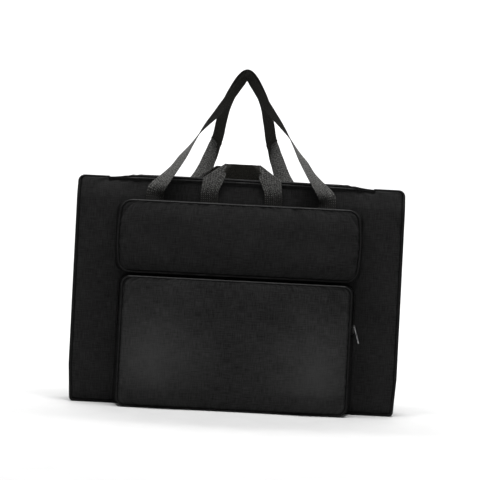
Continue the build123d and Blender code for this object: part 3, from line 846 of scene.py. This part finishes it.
def windowed_plate(piece, outer, inner, z0, z1, bevel, material, place):
    """A plate with a hole in it; both outlines have the same number of points, anticlockwise."""
    outer_in = outer - path_normals(outer, True) * bevel
    inner_in = inner + path_normals(inner, True) * bevel * 0.5
    outside = [(outer_in, z0), (outer, z0 + bevel), (outer, z1 - bevel), (outer_in, z1)]
    inside = [(inner_in, z1), (inner, z1 - bevel), (inner, z0 + bevel), (inner_in, z0)]
    m = len(outer)
    pts = np.vstack([np.column_stack([ring, np.full(m, z)]) for ring, z in outside + inside])
    piece.add(place(pts), grid_faces(8, m, True, True, flip=True), material)


def rounded_outline(x0, x1, half0, half1, radius, count=40):
    """A strip along x whose half-width goes from half0 to half1, with rounded corners."""
    corners = ((x1, -half1), (x1, half1), (x0, half0), (x0, -half0))
    pts = []
    for k, (x, y) in enumerate(corners):
        cx = x - radius * math.copysign(1, x - (x0 + x1) / 2)
        cy = y - radius * math.copysign(1, y)
        start = (-90, 0, 90, 180)[k]
        pts += arc(cx, cy, radius, start, start + 90, 10)
    return resample(pts, sum(abs(v) for v in (x1 - x0, half0, half1)) * 2 / count, True)


# Where a pull's pin sits, in its slider's own axes.
EYE = np.array([4.0, 0, 3.9])


def slider_body(name, place, body, node):
    piece = Piece(name, "metal")
    edge = [(-8, -2.2), (-7.4, -3.6), (-3, -4.4), (2.5, -5.4), (6.8, -5.2), (8, -3.6), (8.0, -1.4), (6.4, 0)]
    outline = np.array(edge + [(x, -y) for x, y in reversed(edge[:-1])])
    closed = np.vstack([outline[-1:], outline, outline[:2]])
    outline = resample(cubic(closed, len(outline) * 5 + 1)[5:-5], 1.2, True)
    plate(piece, outline, 1.4, 2.6, 0.35, ENAMEL, place)
    plate(piece, outline, -2.6, -1.4, 0.35, ENAMEL, place)
    plate(piece, rounded_outline(4.6, 7.0, 0.16, 0.16, 0.12), -1.6, 1.6, 0.05, ENAMEL, place)
    arch = [(0.6, 0, 2.2), (1.2, 0, 4.0), (2.6, 0, 5.0), (5.4, 0, 5.0), (6.8, 0, 4.0), (7.2, 0, 2.2)]
    arch = cubic(arch, 21)
    side_axis = np.tile([0.0, 1.0, 0.0], (len(arch), 1))
    bar = [(-1.15, -0.32), (-0.95, 0.3), (0.95, 0.3), (1.15, -0.32)]
    strap = Piece("", "")
    section_sweep(strap, arch, side_axis, np.cross(tangents(arch), side_axis), bar, ENAMEL)
    piece.graft(strap, place, ENAMEL)
    for sign in (-1, 1):
        rail = cubic([(x, sign * y, 0.0) for x, y in ((-6.6, 3.6), (-3, 4.1), (2.5, 5.1), (6.6, 4.9))], 13)
        for z in (-1.15, 1.15):
            rim = Piece("", "")
            tube(rim, rail + np.array([0, 0, z]), 0.42, ENAMEL, sides=8, up=(0, 0, 1))
            piece.graft(rim, place, ENAMEL)
    return piece.make(body, replaces=(node,))


def by_angle(shape, count):
    """Points of a closed outline in order of their angle about a point in the pull's window."""
    order = np.argsort(np.arctan2(shape[:, 1], shape[:, 0] - 2.2))
    return shape[order][np.linspace(0, len(shape) - 1, count).astype(int)]


def pull_tab(name, place, body, node):
    """A flat pull from its pin at the slider's eye, with a window, a waist and a raised grip."""
    piece = Piece(name, "metal")

    def hang(pts):
        return place(np.asarray(pts, float) + EYE)

    half = [(-1.1, 1.7), (-0.7, 2.6), (0.6, 2.9), (5.4, 2.9), (8.4, 2.1), (11, 1.9), (18, 2.5), (27, 3.0)]
    half += [(30, 2.8), (31.6, 1.5), (31.9, 0)]
    lower = [(x, -y) for x, y in half]
    outline = resample(lower + half[:-1][::-1], 75 / 48, True)[:48]
    window = resample(rounded_outline(-0.45, 5.2, 1.75, 1.75, 1.2), 1.0, True)
    window = resample(np.vstack([window, window[:1]]), run(window)[-1] / 46)
    count = min(len(outline), len(window))
    outline, window = by_angle(outline, count), by_angle(window, count)
    windowed_plate(piece, outline, window, -0.6, 0.6, 0.22, METAL, hang)
    for z0, z1 in ((0.5, 0.85), (-0.85, -0.5)):
        plate(piece, rounded_outline(15.5, 28.5, 1.3, 1.9, 0.9), z0, z1, 0.12, METAL, hang)
    pin = Piece("", "")
    tube(pin, np.array([(0, y, 0) for y in (-2.2, -0.7, 0.7, 2.2)]), 0.75, METAL, sides=12, up=(0, 0, 1))
    piece.graft(pin, hang, METAL)
    return piece.make(body, replaces=(node,))


def placed(origin, x_axis, z_axis, lean=0.0):
    """A function that puts a slider's own points where it is parked; lean turns it about its pin."""
    x = unit(np.asarray(x_axis, float))
    z = unit(np.asarray(z_axis, float))
    y = np.cross(z, x)
    cos, sin = math.cos(math.radians(lean)), math.sin(math.radians(lean))

    def place(pts):
        q = np.asarray(pts, float) - EYE
        q = xyz(q[:, 0] * cos + q[:, 2] * sin, q[:, 1], q[:, 2] * cos - q[:, 0] * sin) + EYE
        return np.asarray(origin, float) + q[:, :1] * x + q[:, 1:2] * y + q[:, 2:3] * z

    return place


# ---------------------------------------------------------------- pockets
class Pocket:
    """A box pocket; its sides slope in from base_half at the panel to face_half at the face."""

    def __init__(self, base_half, face_half, low, high, corner, front):
        self.base_half = base_half
        self.face_half = face_half
        self.low = low
        self.high = high
        self.corner = corner
        self.front = front

    def half_at(self, y):
        share = (-HALF_DEPTH - np.asarray(y, float)) / (-HALF_DEPTH - self.front)
        return self.base_half + (self.face_half - self.base_half) * share

    def outline(self, y, inset=0.0):
        """(x, z) points, anticlockwise from the middle of the top."""
        half = float(self.half_at(y)) - inset
        low = self.low + inset
        high = self.high - inset
        r = self.corner - inset
        pts = [(0, high)]
        pts += arc(-half + r, high - r, r, 90, 180)
        pts += arc(-half + r, low + r, r, 180, 270)
        pts += arc(half - r, low + r, r, 270, 360)
        pts += arc(half - r, high - r, r, 0, 90)
        return np.array(pts)

    def ring_grid(self, ys):
        """A grid round the pocket with a row every 4 mm, and one column for each y."""
        loops = [np.vstack([outline, outline[:1]]) for outline in map(self.outline, ys)]
        s = run(loops[0])
        at = np.linspace(0, s[-1], int(s[-1] / 4.0), endpoint=False)
        x, z = (np.stack([np.interp(at, s, loop[:, k]) for loop in loops], axis=1) for k in (0, 1))
        return xyz(x, ys, z)


upper = Pocket(234.5, 220.5, 249.0, 384.5, 20.0, -60.0)
lower = Pocket(227.0, 214.5, 0.0, 243.0, 18.0, -65.0)


def face_grid(pocket, across, up):
    low = pocket.low + PIPING
    high = pocket.high - PIPING
    r = pocket.corner - PIPING
    rows = corner_rows(low, high, r, r, up)
    u = toward_edges(across)[:, None]
    x = u * rounded_half(rows, low, high, pocket.face_half - PIPING, r, r)
    return xyz(x, pocket.front, rows), u, rows


def pocket_face(name, pocket, p, press, material, **how):
    """Presses a face out from behind, turns it in beside its piping and sews it round."""
    depth, seam_shade = seam_groove(pocket, p)
    p = p + pressed(p, *press)
    p[..., 1] += depth
    p = bow(p, pocket)
    piece = Piece(name, "fabric")
    # The groove beside the piping is painted darker: painted shade.
    add_cloth(piece, p, 1.2, material, marked=seam_shade, second=SHADE_CLOTH)
    path = resample(pocket.outline(pocket.front, PIPING + 3.2), 3.0, True)
    row = bow(xyz(path[:, 0], pocket.front, path[:, 1]), pocket)
    row[:, 1] = nearest_y(p, row) - 0.1
    stitches(piece, row, (0, -1, 0), closed=True)
    return piece.make(**how)


def seam_groove(pocket, p):
    """How deep the face turns in beside its piping, and which points lie in that groove, where the cloth is
    painted darker as shade.
    """
    z = p[..., 2]
    edge = np.abs(p[..., 0]).max(axis=0)[None, :] - np.abs(p[..., 0])
    away = np.minimum(edge, z - pocket.low - PIPING)
    away = np.where(z > pocket.high - pocket.corner, edge, away)
    depth = 1.6 * smoothstep(away, 0.2, 1.4) * (1 - smoothstep(away, 2.4, 5.5))
    return depth, away < 2.6


def upper_face():
    p, u, rows = face_grid(upper, 109, 34)
    x = p[..., 0]
    z = p[..., 2]
    inside = (1 - np.abs(u) ** 3.5) * (1 - np.abs((rows - 316.7) / 64.8) ** 3)
    inside = np.clip(inside, 0, 1)
    swell = 4.2 * inside**0.6 + 1.1 * inside**0.4 * ripple(x, z * 1.2, 61, 120)
    p[..., 1] -= swell + 0.4 * inside**0.4 * ripple(x * 1.2, z, 62, 40)
    how = {"body": "root", "replaces": ("upper_pocket_face",)}
    return pocket_face("upper_pocket_front", upper, p, (8.0, -0.02, 4.0), FABRIC, **how)


def lower_face():
    """The lower pocket's front, slack: it sags into two soft lobes near the floor."""
    p, u, rows = face_grid(lower, 109, 54)
    x = p[..., 0]
    z = p[..., 2]
    inside = (1 - np.abs(u) ** 4) * (1 - np.abs((rows - 121.5) / 118.5) ** 5)
    inside = np.clip(inside, 0, 1)
    tilt = 0.5 * np.log1p(np.exp((172 - z) / 9)) / (138 / 9)
    belly = smoothstep(z, 0, 40) * np.minimum(2 * tilt, 1.15)
    lobes = 0.2 + np.exp(-((x + 142) / 60) ** 2) + np.exp(-((x - 140) / 60) ** 2)
    swell = 9.5 * belly * lobes + 1.4 * inside
    folds = 0.9 * ripple(x, z, 71, 130) + 0.4 * ripple(x, z * 1.3, 72, 44)
    p[..., 1] -= inside**0.45 * (swell + folds)
    how = {"blend": flap_bend(), "replaces": ("lower_pocket_face", "lower_flap_face")}
    # The face's cloth carries painted highlights on its two lobes.
    return pocket_face("lower_pocket_front", lower, p, (6.0, -0.02, 1.6), LIT_PATCH_WEAVE, **how)


def flap_bend():
    low, high = FLAP_BEND
    y = -0.0662
    return ("root", "lower_flap_body", (0, y, low * MM), (0, y, high * MM))


def bow(p, pocket):
    """The upper pocket's sides bulge outwards at mid-height, more so towards its face."""
    if pocket is not upper:
        return p
    x = p[..., 0]
    half = (pocket.high - pocket.low) / 2
    share = np.clip(1 - ((p[..., 2] - pocket.low - half) / half) ** 2, 0, 1)
    depth = np.clip((-HALF_DEPTH - p[..., 1]) / (-HALF_DEPTH - pocket.front), 0, 1)
    moved = p.copy()
    moved[..., 0] += np.sign(x) * 6.5 * share * depth * smoothstep(np.abs(x), 140, 215)
    return moved


def pocket_piping(name, pocket, **how):
    path = resample(pocket.outline(pocket.front, 1.5), 2.5, True)
    wobble = 0.35 * ripple(path[:, 0], path[:, 1], 81, 70)
    centres = bow(xyz(path[:, 0], pocket.front + 0.9 + wobble, path[:, 1]), pocket)
    piece = Piece(name, "piping")
    tube(piece, centres, 1.65, SHADE_PIPING, closed=True, sides=12)
    # Along the top the cord is painted paler: a painted highlight where the light from above falls on it.
    painted_light = np.vstack(piece.points)[:, 2] > pocket.high - 1.8
    repaint(piece, 0, piece.faces, painted_light, HIGHLIGHT_HEM)
    return piece.make(**how)


def inwards(p, pocket, depth):
    """Moves a ring's points towards the pocket's inside by depth."""
    du = around(p)
    normal = unit(xyz(du[..., 2], 0, -du[..., 0]))
    middle = (pocket.low + pocket.high) / 2
    outward = np.sign(normal[..., 0] * p[..., 0] + normal[..., 2] * (p[..., 2] - middle))
    return p - normal * (outward * depth)[..., None]


def soften(p, pocket, deep, seed, wander):
    """Pulls a gusset in between its seams, with small folds across it."""
    x, y, z = np.moveaxis(p, -1, 0)
    t = (y - y[:, :1]) / (y[:, -1:] - y[:, :1])
    depth = np.clip(4 * t * (1 - t), 0, 1) * (deep + wander * ripple(x + z * 0.9, y * 1.6, seed, 42))
    if pocket.low < 1:
        depth = depth * smoothstep(z, 1.5, 10)
    return inwards(p, pocket, depth)


def cut_path(grid, keep):
    """The rows of a closed grid where keep is true, in order, starting after the gap."""
    start = int(np.argmin(keep))
    return np.roll(grid, -start, axis=0)[np.roll(keep, -start)]


# (y, z) across the hems on either side of the upper pocket's zip.
REAR_HEM = [(-29.6, 384.5), (-33, 384.2), (-36.4, 384.7), (-37.6, 383.4), (-37.9, 380.6)]
FRONT_HEM = [(-57.5, 384.4), (-54.6, 384.2), (-51.6, 384.7), (-50.4, 383.4), (-50.1, 380.6)]


def upper_gusset():
    piece = Piece("upper_pocket_gusset", "fabric")
    back = upper.ring_grid(np.linspace(-HALF_DEPTH, -57.4, 13))
    soft = bow(soften(back, upper, 1.8, 91, 0.9), upper)
    on_zip = (back[:, 0, 2] > upper.high - 0.5) & (np.abs(back[:, 0, 0]) < 204)
    # The gusset and its hems are painted darker: painted shade.
    add_cloth(piece, cut_path(soft, ~on_zip), 1.2, SHADE_CLOTH)
    x = np.linspace(-206, 206, 83)[:, None]
    for section, part in ((REAR_HEM, x), (FRONT_HEM, x[:11]), (FRONT_HEM, x[72:])):
        y, z = cubic(section, 13).T
        add_cloth(piece, xyz(part, y, z), 1.0, SHADE_CLOTH, flip=section is FRONT_HEM)
    names = [f"upper_pocket_{w}_gusset" for w in ("left", "right", "bottom", "top")]
    return piece.make("root", replaces=names)


def upper_lip():
    x = np.linspace(-155.6, 155.6, 79)[:, None]
    y, z = cubic(FRONT_HEM, 13).T
    p = xyz(x, y, z + 0.3 * ripple(x, y, 95, 50))
    piece = Piece("upper_pocket_lip_hem", "fabric")
    add_cloth(piece, p, 1.0, FABRIC, flip=True)
    stitches(piece, p[2:-2, 7] + np.array([0, 0, 0.1]), (0, 0, 1))
    return piece.make("upper_lip_body", replaces=("upper_pocket_lip",))


def upper_zip():
    runs = [(*straight(-204, 204, UPPER_ZIP_Z), 1)]
    runs += [(*straight(x0, x1, UPPER_ZIP_Z), -1) for x0, x1 in ((-204, -156.3), (156.3, 204))]
    zip_half("upper_pocket_fixed", runs, UPPER_ZIP_Y, "upper_pocket_rear", body="root")
    runs = [(*straight(-156, 156, UPPER_ZIP_Z), -1)]
    zip_half("upper_lip_zip", runs, UPPER_ZIP_Y, "upper_pocket_lip", body="upper_lip_body")


def lower_gusset():
    """The fixed gusset: whole below the zip, and only its rear strip behind the zip."""
    piece = Piece("lower_pocket_gusset", "fabric")
    whole = lower.ring_grid(np.linspace(-HALF_DEPTH, -62.4, 15))
    soft = soften(whole, lower, 2.0, 101, 1.0)
    below = whole[:, 0, 2] < LOWER_ZIP_BOTTOM + 1
    # The gusset is painted darker: painted shade.
    add_cloth(piece, cut_path(soft, below), 1.2, SHADE_CLOTH)
    rear = lower.ring_grid(np.linspace(-HALF_DEPTH, -41.9, 9))
    hem = np.array([0, 0.25, 0.35, 0.3, 0.2, 0.1, -0.1, 0.2, 1.1])
    rear_soft = inwards(rear, lower, hem)
    above = rear[:, 0, 2] > LOWER_ZIP_BOTTOM - 1
    add_cloth(piece, cut_path(rear_soft, above), 1.0, SHADE_CLOTH)
    names = [f"lower_pocket_{w}_gusset" for w in ("left", "right", "bottom", "top")]
    return piece.make("root", replaces=names)


def flap_gusset():
    ring = lower.ring_grid(np.linspace(-62.4, -54.1, 7))
    hem = np.array([0, 0.15, 0.25, 0.15, -0.1, 0.2, 1.1])
    soft = inwards(ring, lower, hem)
    above = ring[:, 0, 2] > LOWER_ZIP_BOTTOM - 1
    piece = Piece("flap_gusset", "fabric")
    # The flap's gusset is painted darker: painted shade.
    add_cloth(piece, cut_path(soft, above), 1.0, SHADE_CLOTH, flip=True)
    return piece.make(blend=flap_bend(), replaces=("lower_flap_gusset",))


def lower_zip():
    outline = resample(lower.outline(LOWER_ZIP_Y, 0.8), 3.0, True)
    path = cut_path(outline, outline[:, 1] > LOWER_ZIP_BOTTOM)
    normals = path_normals(path)
    zip_half("lower_pocket_fixed", [(path, normals, 1)], LOWER_ZIP_Y, "lower_pocket_rear", body="root")
    zip_half("flap_zip", [(path, normals, -1)], LOWER_ZIP_Y, "lower_flap", blend=flap_bend())


# ---------------------------------------------------------------- webbing
def rib_profile():
    """Half-thickness across the webbing, with rounded cords running along it."""
    t = np.linspace(-1, 1, RIBS * 6 + 1)
    wave = 0.5 + 0.5 * np.cos(t * math.pi * RIBS)
    thick = WEBBING_THICK / 2 * (0.62 + 0.38 * wave)
    thick = thick * np.where(np.abs(t) > 0.985, 0.55, 1.0)
    return t, thick


def ribbon(piece, left, right, normal, material=None):
    """Webbing between two edges, which are rows of points; normal points out of its face."""
    t, _ = rib_profile()
    share = ((t + 1) / 2)[None, :, None]
    middle = left[:, None, :] * (1 - share) + right[:, None, :] * share
    ribbon_grid(piece, middle, np.broadcast_to(normal, middle.shape), material)


def ribbon_grid(piece, middle, normals, material=None, painted_shade=None):
    """Webbing around a grid of points, with its ribs raised along the grid's normals.

    painted_shade marks the grid points where the webbing is painted darker as shade, on faces turned away
    from the light.
    """
    t, thick = rib_profile()
    out = normals * thick[None, :, None]
    loop = np.concatenate([middle + out, (middle - out)[:, ::-1]], axis=1)
    width = (np.concatenate([t, t[::-1]]) + 1) * WEBBING / 2
    faces = capped(*loop.shape[:2], flip=True)
    first = len(piece.face_materials)
    piece.add(loop, faces, material or STRAP, uv_grid(run(middle[:, len(t) // 2]), width))
    if painted_shade is not None:
        both = np.concatenate([painted_shade, painted_shade[:, ::-1]], axis=1).reshape(-1)
        repaint(piece, first, faces, both, SHADE_STRAP)


# Left half of each long strap: x, y, z, twist of its outer part, twist of its inner part, and
# the place of the crease between them across the width (-1 outer edge, 1 inner edge).
front_route = [
    (*at, twist, twist, 2)
    for *at, twist in (
        (-163, -30.8, 385.8, -90),
        (-163, -30.9, 396, -90),
        (-161, -32.2, 405, -82),
        (-154.5, -34.2, 415, -61),
        (-144, -36.4, 428, -46),
        (-128.5, -36.0, 448, -33),
        (-114.5, -31.5, 470, -28),
        (-100, -24.0, 494, -14),
        (-86, -20.0, 517, -5),
        (-73, -18.6, 534.5, 5),
        (-56, -18.4, 555, 15),
        (-40, -18.4, 576, 22),
        (-26, -18.4, 596, 22),
        (-12, -18.4, 616, 20),
        (0, -18.4, 630, 17),
    )
]
back_route = [
    (-106, 30.8, 385.8, -90, -90, 2),
    (-106, 30.9, 394, -90, -90, 2),
    (-103.5, 32.0, 404, -94, -88, 2),
    (-92, 36.0, 422, -104, -70, 1.8),
    (-81.5, 40.5, 440, -110, -56, 1.6),
    (-74, 43.0, 457, -117, -40, 1.3),
    (-68, 44.5, 474, -124, -34, 1.0),
    (-62, 44.0, 490, -129, -34, 0.72),
    (-58.5, 42.0, 501, -134, -34, 0.4),
    (-55.6, 40.0, 508, -137, -34, 0.15),
    (-53.2, 38.0, 514, -139, -34, -0.45),
    (-51.5, 35.0, 521, -140, -34, -1.1),
    (-49.5, 31.5, 530, -120, -34, -1.7),
    (-45, 25.5, 552, -60, -34, -2),
    (-39, 21.0, 576, -31, -31, -2),
    (-29, 18.9, 601, -29, -29, -2),
    (-14, 18.6, 628, -27, -27, -2),
    (0, 18.6, 640, -25, -25, -2),
]


def handle_bend(who, kind, sign):
    """Make settings for a handle, with a blend tuple along its foot line over 5 mm of height; make only bakes
    the transform when given one.
    """
    y = sign * FOLD_Y * MM
    return {
        "blend": ("root", f"{who}_{kind}_handle_body", (0, y, 0.3875), (0, y, 0.3925)),
        "replaces": (f"{who}_{kind}_handle",),
    }


def long_handle(who, route, away):
    """A strap from its left foot over the peak to its right foot."""
    left = np.array(route, float)
    mirrored = left[:-1][::-1] * np.array([-1, 1, 1, 1, 1, 1])
    s = cubic(np.vstack([left, mirrored]), 400)
    centres = s[:, :3]
    way = tangents(centres[:, [0, 2]])
    outward = xyz(-way[:, 1], 0, way[:, 0])
    tangent = tangents(centres)[:, None, :]
    t, _ = rib_profile()
    fold = smoothstep(t[None, :] - s[:, 5:6], -0.22, 0.22)
    turn = np.radians(s[:, 3:4] * (1 - fold) + s[:, 4:5] * fold)[..., None]
    across = np.array([0.0, away, 0.0]) * np.cos(turn) + outward[:, None, :] * np.sin(turn)
    across = unit(across - tangent * (across * tangent).sum(axis=-1, keepdims=True))
    normal = np.cross(np.broadcast_to(tangent, across.shape), across)
    step = np.diff(t, prepend=t[0])[None, :, None] * WEBBING / 2
    spread = np.cumsum(across * step, axis=1)
    spread = spread - spread[:, len(t) // 2, None]
    # A slight waver, as worn webbing has.
    length = run(centres)
    waver = 0.5 * smoothstep(centres[:, 2], 400, 440) * ripple(length, length * 0, 111 + away, 60)
    middle = centres[:, None, :] + spread + normal * waver[:, None, None]
    piece = Piece(f"{who}_long_strap", "webbing")
    # The part past the crease and the strap above 510 mm are painted darker: painted shade.
    ribbon_grid(piece, middle, normal, painted_shade=(fold > 0.5) | (centres[:, 2:3] > 510))
    return piece.make(**handle_bend(who, "long", away))


FOLD_Y = 31.85
LONG_FEET = {"front": 163, "back": 106}
SHORT_X = 60.6
LEAN = math.radians(-0.5)
LEAN_Z = 402.0
CORNER_Z = 431.0
BAND_TOP = 461.5
STRAP_FRONT = -HALF_DEPTH - WEBBING_THICK - 0.1


def lean(pts):
    """Tilts points about LEAN_Z: in over the bag where LEAN is above 0, and outwards below 0."""
    q = np.array(pts, float)
    up = np.clip(q[..., 2] - LEAN_Z, 0, None)
    q[..., 1] += up * math.sin(LEAN)
    q[..., 2] = np.minimum(q[..., 2], LEAN_Z) + up * math.cos(LEAN)
    return q


def short_handle(who, sign):
    """Two legs folded over at the corners into a level grip; the back one hangs a little askew."""
    flip = np.array([1, -sign, 1])

    def hung(pts):
        moved = pts * flip
        if who == "back":
            reach = 11 + 10 * smoothstep(-pts[:, 0], -10, 60)
            moved[:, 0] -= reach * smoothstep(pts[:, 2], 404, 446)
        return moved

    piece = Piece(f"{who}_short_strap", "webbing")
    outer = SHORT_X + WEBBING / 2
    inner = SHORT_X - WEBBING / 2
    y_leg = STRAP_FRONT + WEBBING_THICK / 2
    y_grip = y_leg + WEBBING_THICK
    normal = np.array([0.0, -math.cos(LEAN), math.sin(LEAN)]) * flip
    heights = np.concatenate([np.linspace(385.8, LEAN_Z, 12), np.linspace(LEAN_Z, 500, 40)[1:]])
    share = np.clip((heights - LEAN_Z) / (500 - LEAN_Z), 0, 1)
    base = np.minimum(heights, LEAN_Z)
    belly = 1.6 * np.sin(np.linspace(0, math.pi, len(heights)))
    for side in (-1, 1):
        out_edge = xyz(side * (outer - 3.6 * share), y_leg, base + share * (CORNER_Z - LEAN_Z))
        in_x = side * (inner - 13.0 * smoothstep(share, 0, 0.7))
        in_edge = xyz(in_x, y_leg, base + share * (BAND_TOP - LEAN_Z))
        edges = [lean(edge) for edge in (out_edge, in_edge)]
        for edge in edges:
            edge[:, 1] -= belly
        a, b = edges if side * sign > 0 else edges[::-1]
        ribbon(piece, hung(a), hung(b), normal)
        fold = np.linspace(0.03, 0.955, 14)[:, None]
        corner = np.array([side * (outer - 3.6), y_leg + 0.8, CORNER_Z])
        crease = np.array([side * (inner - 13.0), y_leg + 0.8, BAND_TOP])
        rolled = hung(lean(corner * (1 - fold) + crease * fold))
        rolled[:, 2] += 0.2
        tube(piece, rolled, 1.55, STRAP)
    across = np.linspace(-1, 1, 60)
    low = lean(xyz(across * 73.0, y_grip, 427.5))
    high = lean(xyz(across * 33.6, y_grip, BAND_TOP - 0.72 * (1 - across**2)))
    # The grip rolls forward between its corners, so it faces a little downwards.
    roll = 1 - smoothstep(np.abs(across), 0.5, 0.88)
    high[:, 1] -= 7.5 * roll
    low[:, 2] += 7.0 * roll
    a, b = (high, low) if who == "front" else (low, high)
    # The grip takes the darker webbing: painted shade on its downward face.
    ribbon(piece, hung(a), hung(b), normal, SHADE_STRAP)
    return piece.make(**handle_bend(who, "short", sign))


def anchors(who, sign):
    piece = Piece(f"{who}_strap_feet", "webbing")
    z = np.linspace(330.2, 385.8, 30)
    y = sign * (HALF_DEPTH + WEBBING_THICK / 2)
    for x in (-LONG_FEET[who], -SHORT_X, SHORT_X, LONG_FEET[who]):
        a, b = (xyz(x + half * sign * WEBBING / 2, y, z) for half in (1, -1))
        ribbon(piece, a, b, (0.0, sign, 0.0))
    return piece.make("root", replaces=(f"{who}_handle_anchors",))


def anchor_seams():
    """A sewn box with a cross on each strap end at the back."""
    piece = Piece("anchor_seams", "thread")
    y = HALF_DEPTH + WEBBING_THICK + 0.1
    how = {"step": 2.6, "length": 2.1, "radius": 0.36}
    for x in (-LONG_FEET["back"], -SHORT_X, SHORT_X, LONG_FEET["back"]):
        ring = np.array([(x - 13, y, 335), (x + 13, y, 335), (x + 13, y, 361), (x - 13, y, 361)])
        stitches(piece, ring, (0, 1, 0), closed=True, **how)
        for cross in (ring[[0, 2]], ring[[1, 3]]):
            stitches(piece, cross, (0, 1, 0), **how)
    return piece.make("root", replaces=("anchor_stitching",))


# ---------------------------------------------------------------- lining
def lining(who, side):
    """A loose inner wall from the floor up to the mouth."""
    x = np.linspace(-302, 302, 90)[:, None]
    z = np.linspace(5, 419, 60)
    wall = np.abs(panel_y(z)) - 5.2
    loose = 0.6 + 0.6 * ripple(x, z, 121 + side, 90)
    p = xyz(x, side * (wall - loose * smoothstep(418 - z, 0, 30)), z)
    piece = Piece(f"{who}_inner_wall", "lining")
    add_cloth(piece, p, 0.5, LINING, flip=side < 0)
    return piece.make("root", replaces=(f"{who}_lining",))


# ---------------------------------------------------------------- everything
body_panel("front_cloth", -1, 11, ("front_panel",))
body_panel("back_cloth", 1, 21, ("back_panel",))
body_piping("front_piping_cord", -1, ("front_piping",))
body_piping("back_piping_cord", 1, ("back_piping",))
body_gusset()
main_zip()
lip(-1, "front")
lip(1, "back")
lining("front", -1)
lining("back", 1)

main_place = placed((262.0, 0, ZIP_Z), (1, 0, 0), (0, 0, 1))
slider_body("main_zip_slider", main_place, "main_slider_body", "main_slider")
pull_tab("main_zip_pull", main_place, "main_pull_body", "main_pull")
upper_place = placed((166.0, UPPER_ZIP_Y, UPPER_ZIP_Z), (1, 0, 0), (0, 0, 1))
slider_body("upper_zip_slider", upper_place, "upper_slider_body", "upper_pocket_slider")
pull_tab("upper_zip_pull", upper_place, "upper_pull_body", "upper_pocket_pull")
slope = (lower.base_half - lower.face_half) / (-HALF_DEPTH - lower.front)
side_origin = (float(lower.half_at(LOWER_ZIP_Y)) - 0.8, LOWER_ZIP_Y, 163.0)
lower_place = placed(side_origin, (0, 0, 1), (1, -slope, 0))
hanging = placed(side_origin, (0, 0, 1), (1, -slope, 0), lean=197.0)
slider_body("lower_zip_slider", lower_place, "lower_slider_body", "lower_pocket_slider")
pull_tab("lower_zip_pull", hanging, "lower_pull_body", "lower_pocket_pull")

upper_face()
pocket_piping("upper_pocket_cord", upper, body="root", replaces=("upper_pocket_piping",))
upper_gusset()
upper_lip()
upper_zip()
lower_face()
flap_piping = ("lower_pocket_piping", "lower_flap_piping")
pocket_piping("lower_pocket_cord", lower, blend=flap_bend(), replaces=flap_piping)
lower_gusset()
flap_gusset()
lower_zip()

long_handle("front", front_route, -1)
long_handle("back", back_route, 1)
short_handle("front", -1)
short_handle("back", 1)
anchors("front", -1)
anchors("back", 1)
anchor_seams()

for node in ("front_stiffener", "back_stiffener", "bottom_stiffener"):
    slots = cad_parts[node].data.materials
    slots.clear()
    slots.append(BOARD)


# ---------------------------------------------------------------- studio
def backdrop():
    """A pale floor that curves up into a wall behind the bag."""
    profile = [(-6.0, 0.0), (2.2, 0.0)]
    profile += [(2.2 + 1.8 * math.sin(a), 1.8 - 1.8 * math.cos(a)) for a in np.linspace(0.1, math.pi / 2, 16)]
    profile += [(4.0, 6.5)]
    points = []
    for y, z in profile:
        points += [(-7.0, y, z - 0.0005), (7.0, y, z - 0.0005)]
    faces = [(2 * k, 2 * k + 1, 2 * k + 3, 2 * k + 2) for k in range(len(profile) - 1)]
    mesh = bpy.data.meshes.new("backdrop")
    mesh.from_pydata(points, [], faces)
    mesh.polygons.foreach_set("use_smooth", [True] * len(mesh.polygons))
    obj = bpy.data.objects.new("backdrop", mesh)
    bpy.context.scene.collection.objects.link(obj)
    mesh.materials.append(plain_material("paper", grey(0.46), grey(0.49), (0.8, 0.95), 30.0, 0.00005, 0.1))


def area_light(name, place, target, size, energy, size_y=None):
    data = bpy.data.lights.new(name, "AREA")
    data.shape = "RECTANGLE"
    data.size = size
    data.size_y = size_y or size
    data.energy = energy
    obj = bpy.data.objects.new(name, data)
    bpy.context.scene.collection.objects.link(obj)
    obj.location = place
    obj.rotation_mode = "QUATERNION"
    obj.rotation_quaternion = (Vector(target) - Vector(place)).to_track_quat("-Z", "Y")


backdrop()
area_light("top", (0.0, -0.42, 2.4), (0, -0.1, 0.3), 2.4, 95, 0.7)
area_light("side_left", (-2.4, -0.9, 1.5), (0, 0, 0.2), 0.9, 4)
area_light("side_right", (2.4, -0.9, 1.5), (0, 0, 0.2), 0.9, 4)
area_light("wall", (0.0, 1.2, 3.4), (0, 4.0, 0.9), 4.0, 330, 1.2)

world = bpy.data.worlds.new("studio")
world.use_nodes = True
world.node_tree.nodes["Background"].inputs["Color"].default_value = (1, 1, 1, 1)
world.node_tree.nodes["Background"].inputs["Strength"].default_value = 0.25
bpy.context.scene.world = world

camera_data = bpy.data.cameras.new("camera")
camera_data.lens = 71.5
camera_data.sensor_width = 36.0
camera = bpy.data.objects.new("camera", camera_data)
bpy.context.scene.collection.objects.link(camera)
ROLL = math.radians(2.9)
camera.matrix_world = (
    Matrix.Translation((0.0015, -1.83, 0.3188))
    @ Matrix.Rotation(-ROLL, 4, "Y")
    @ Matrix.Rotation(math.pi / 2, 4, "X")
)
bpy.context.scene.camera = camera
bpy.context.scene.view_settings.view_transform = "Standard"
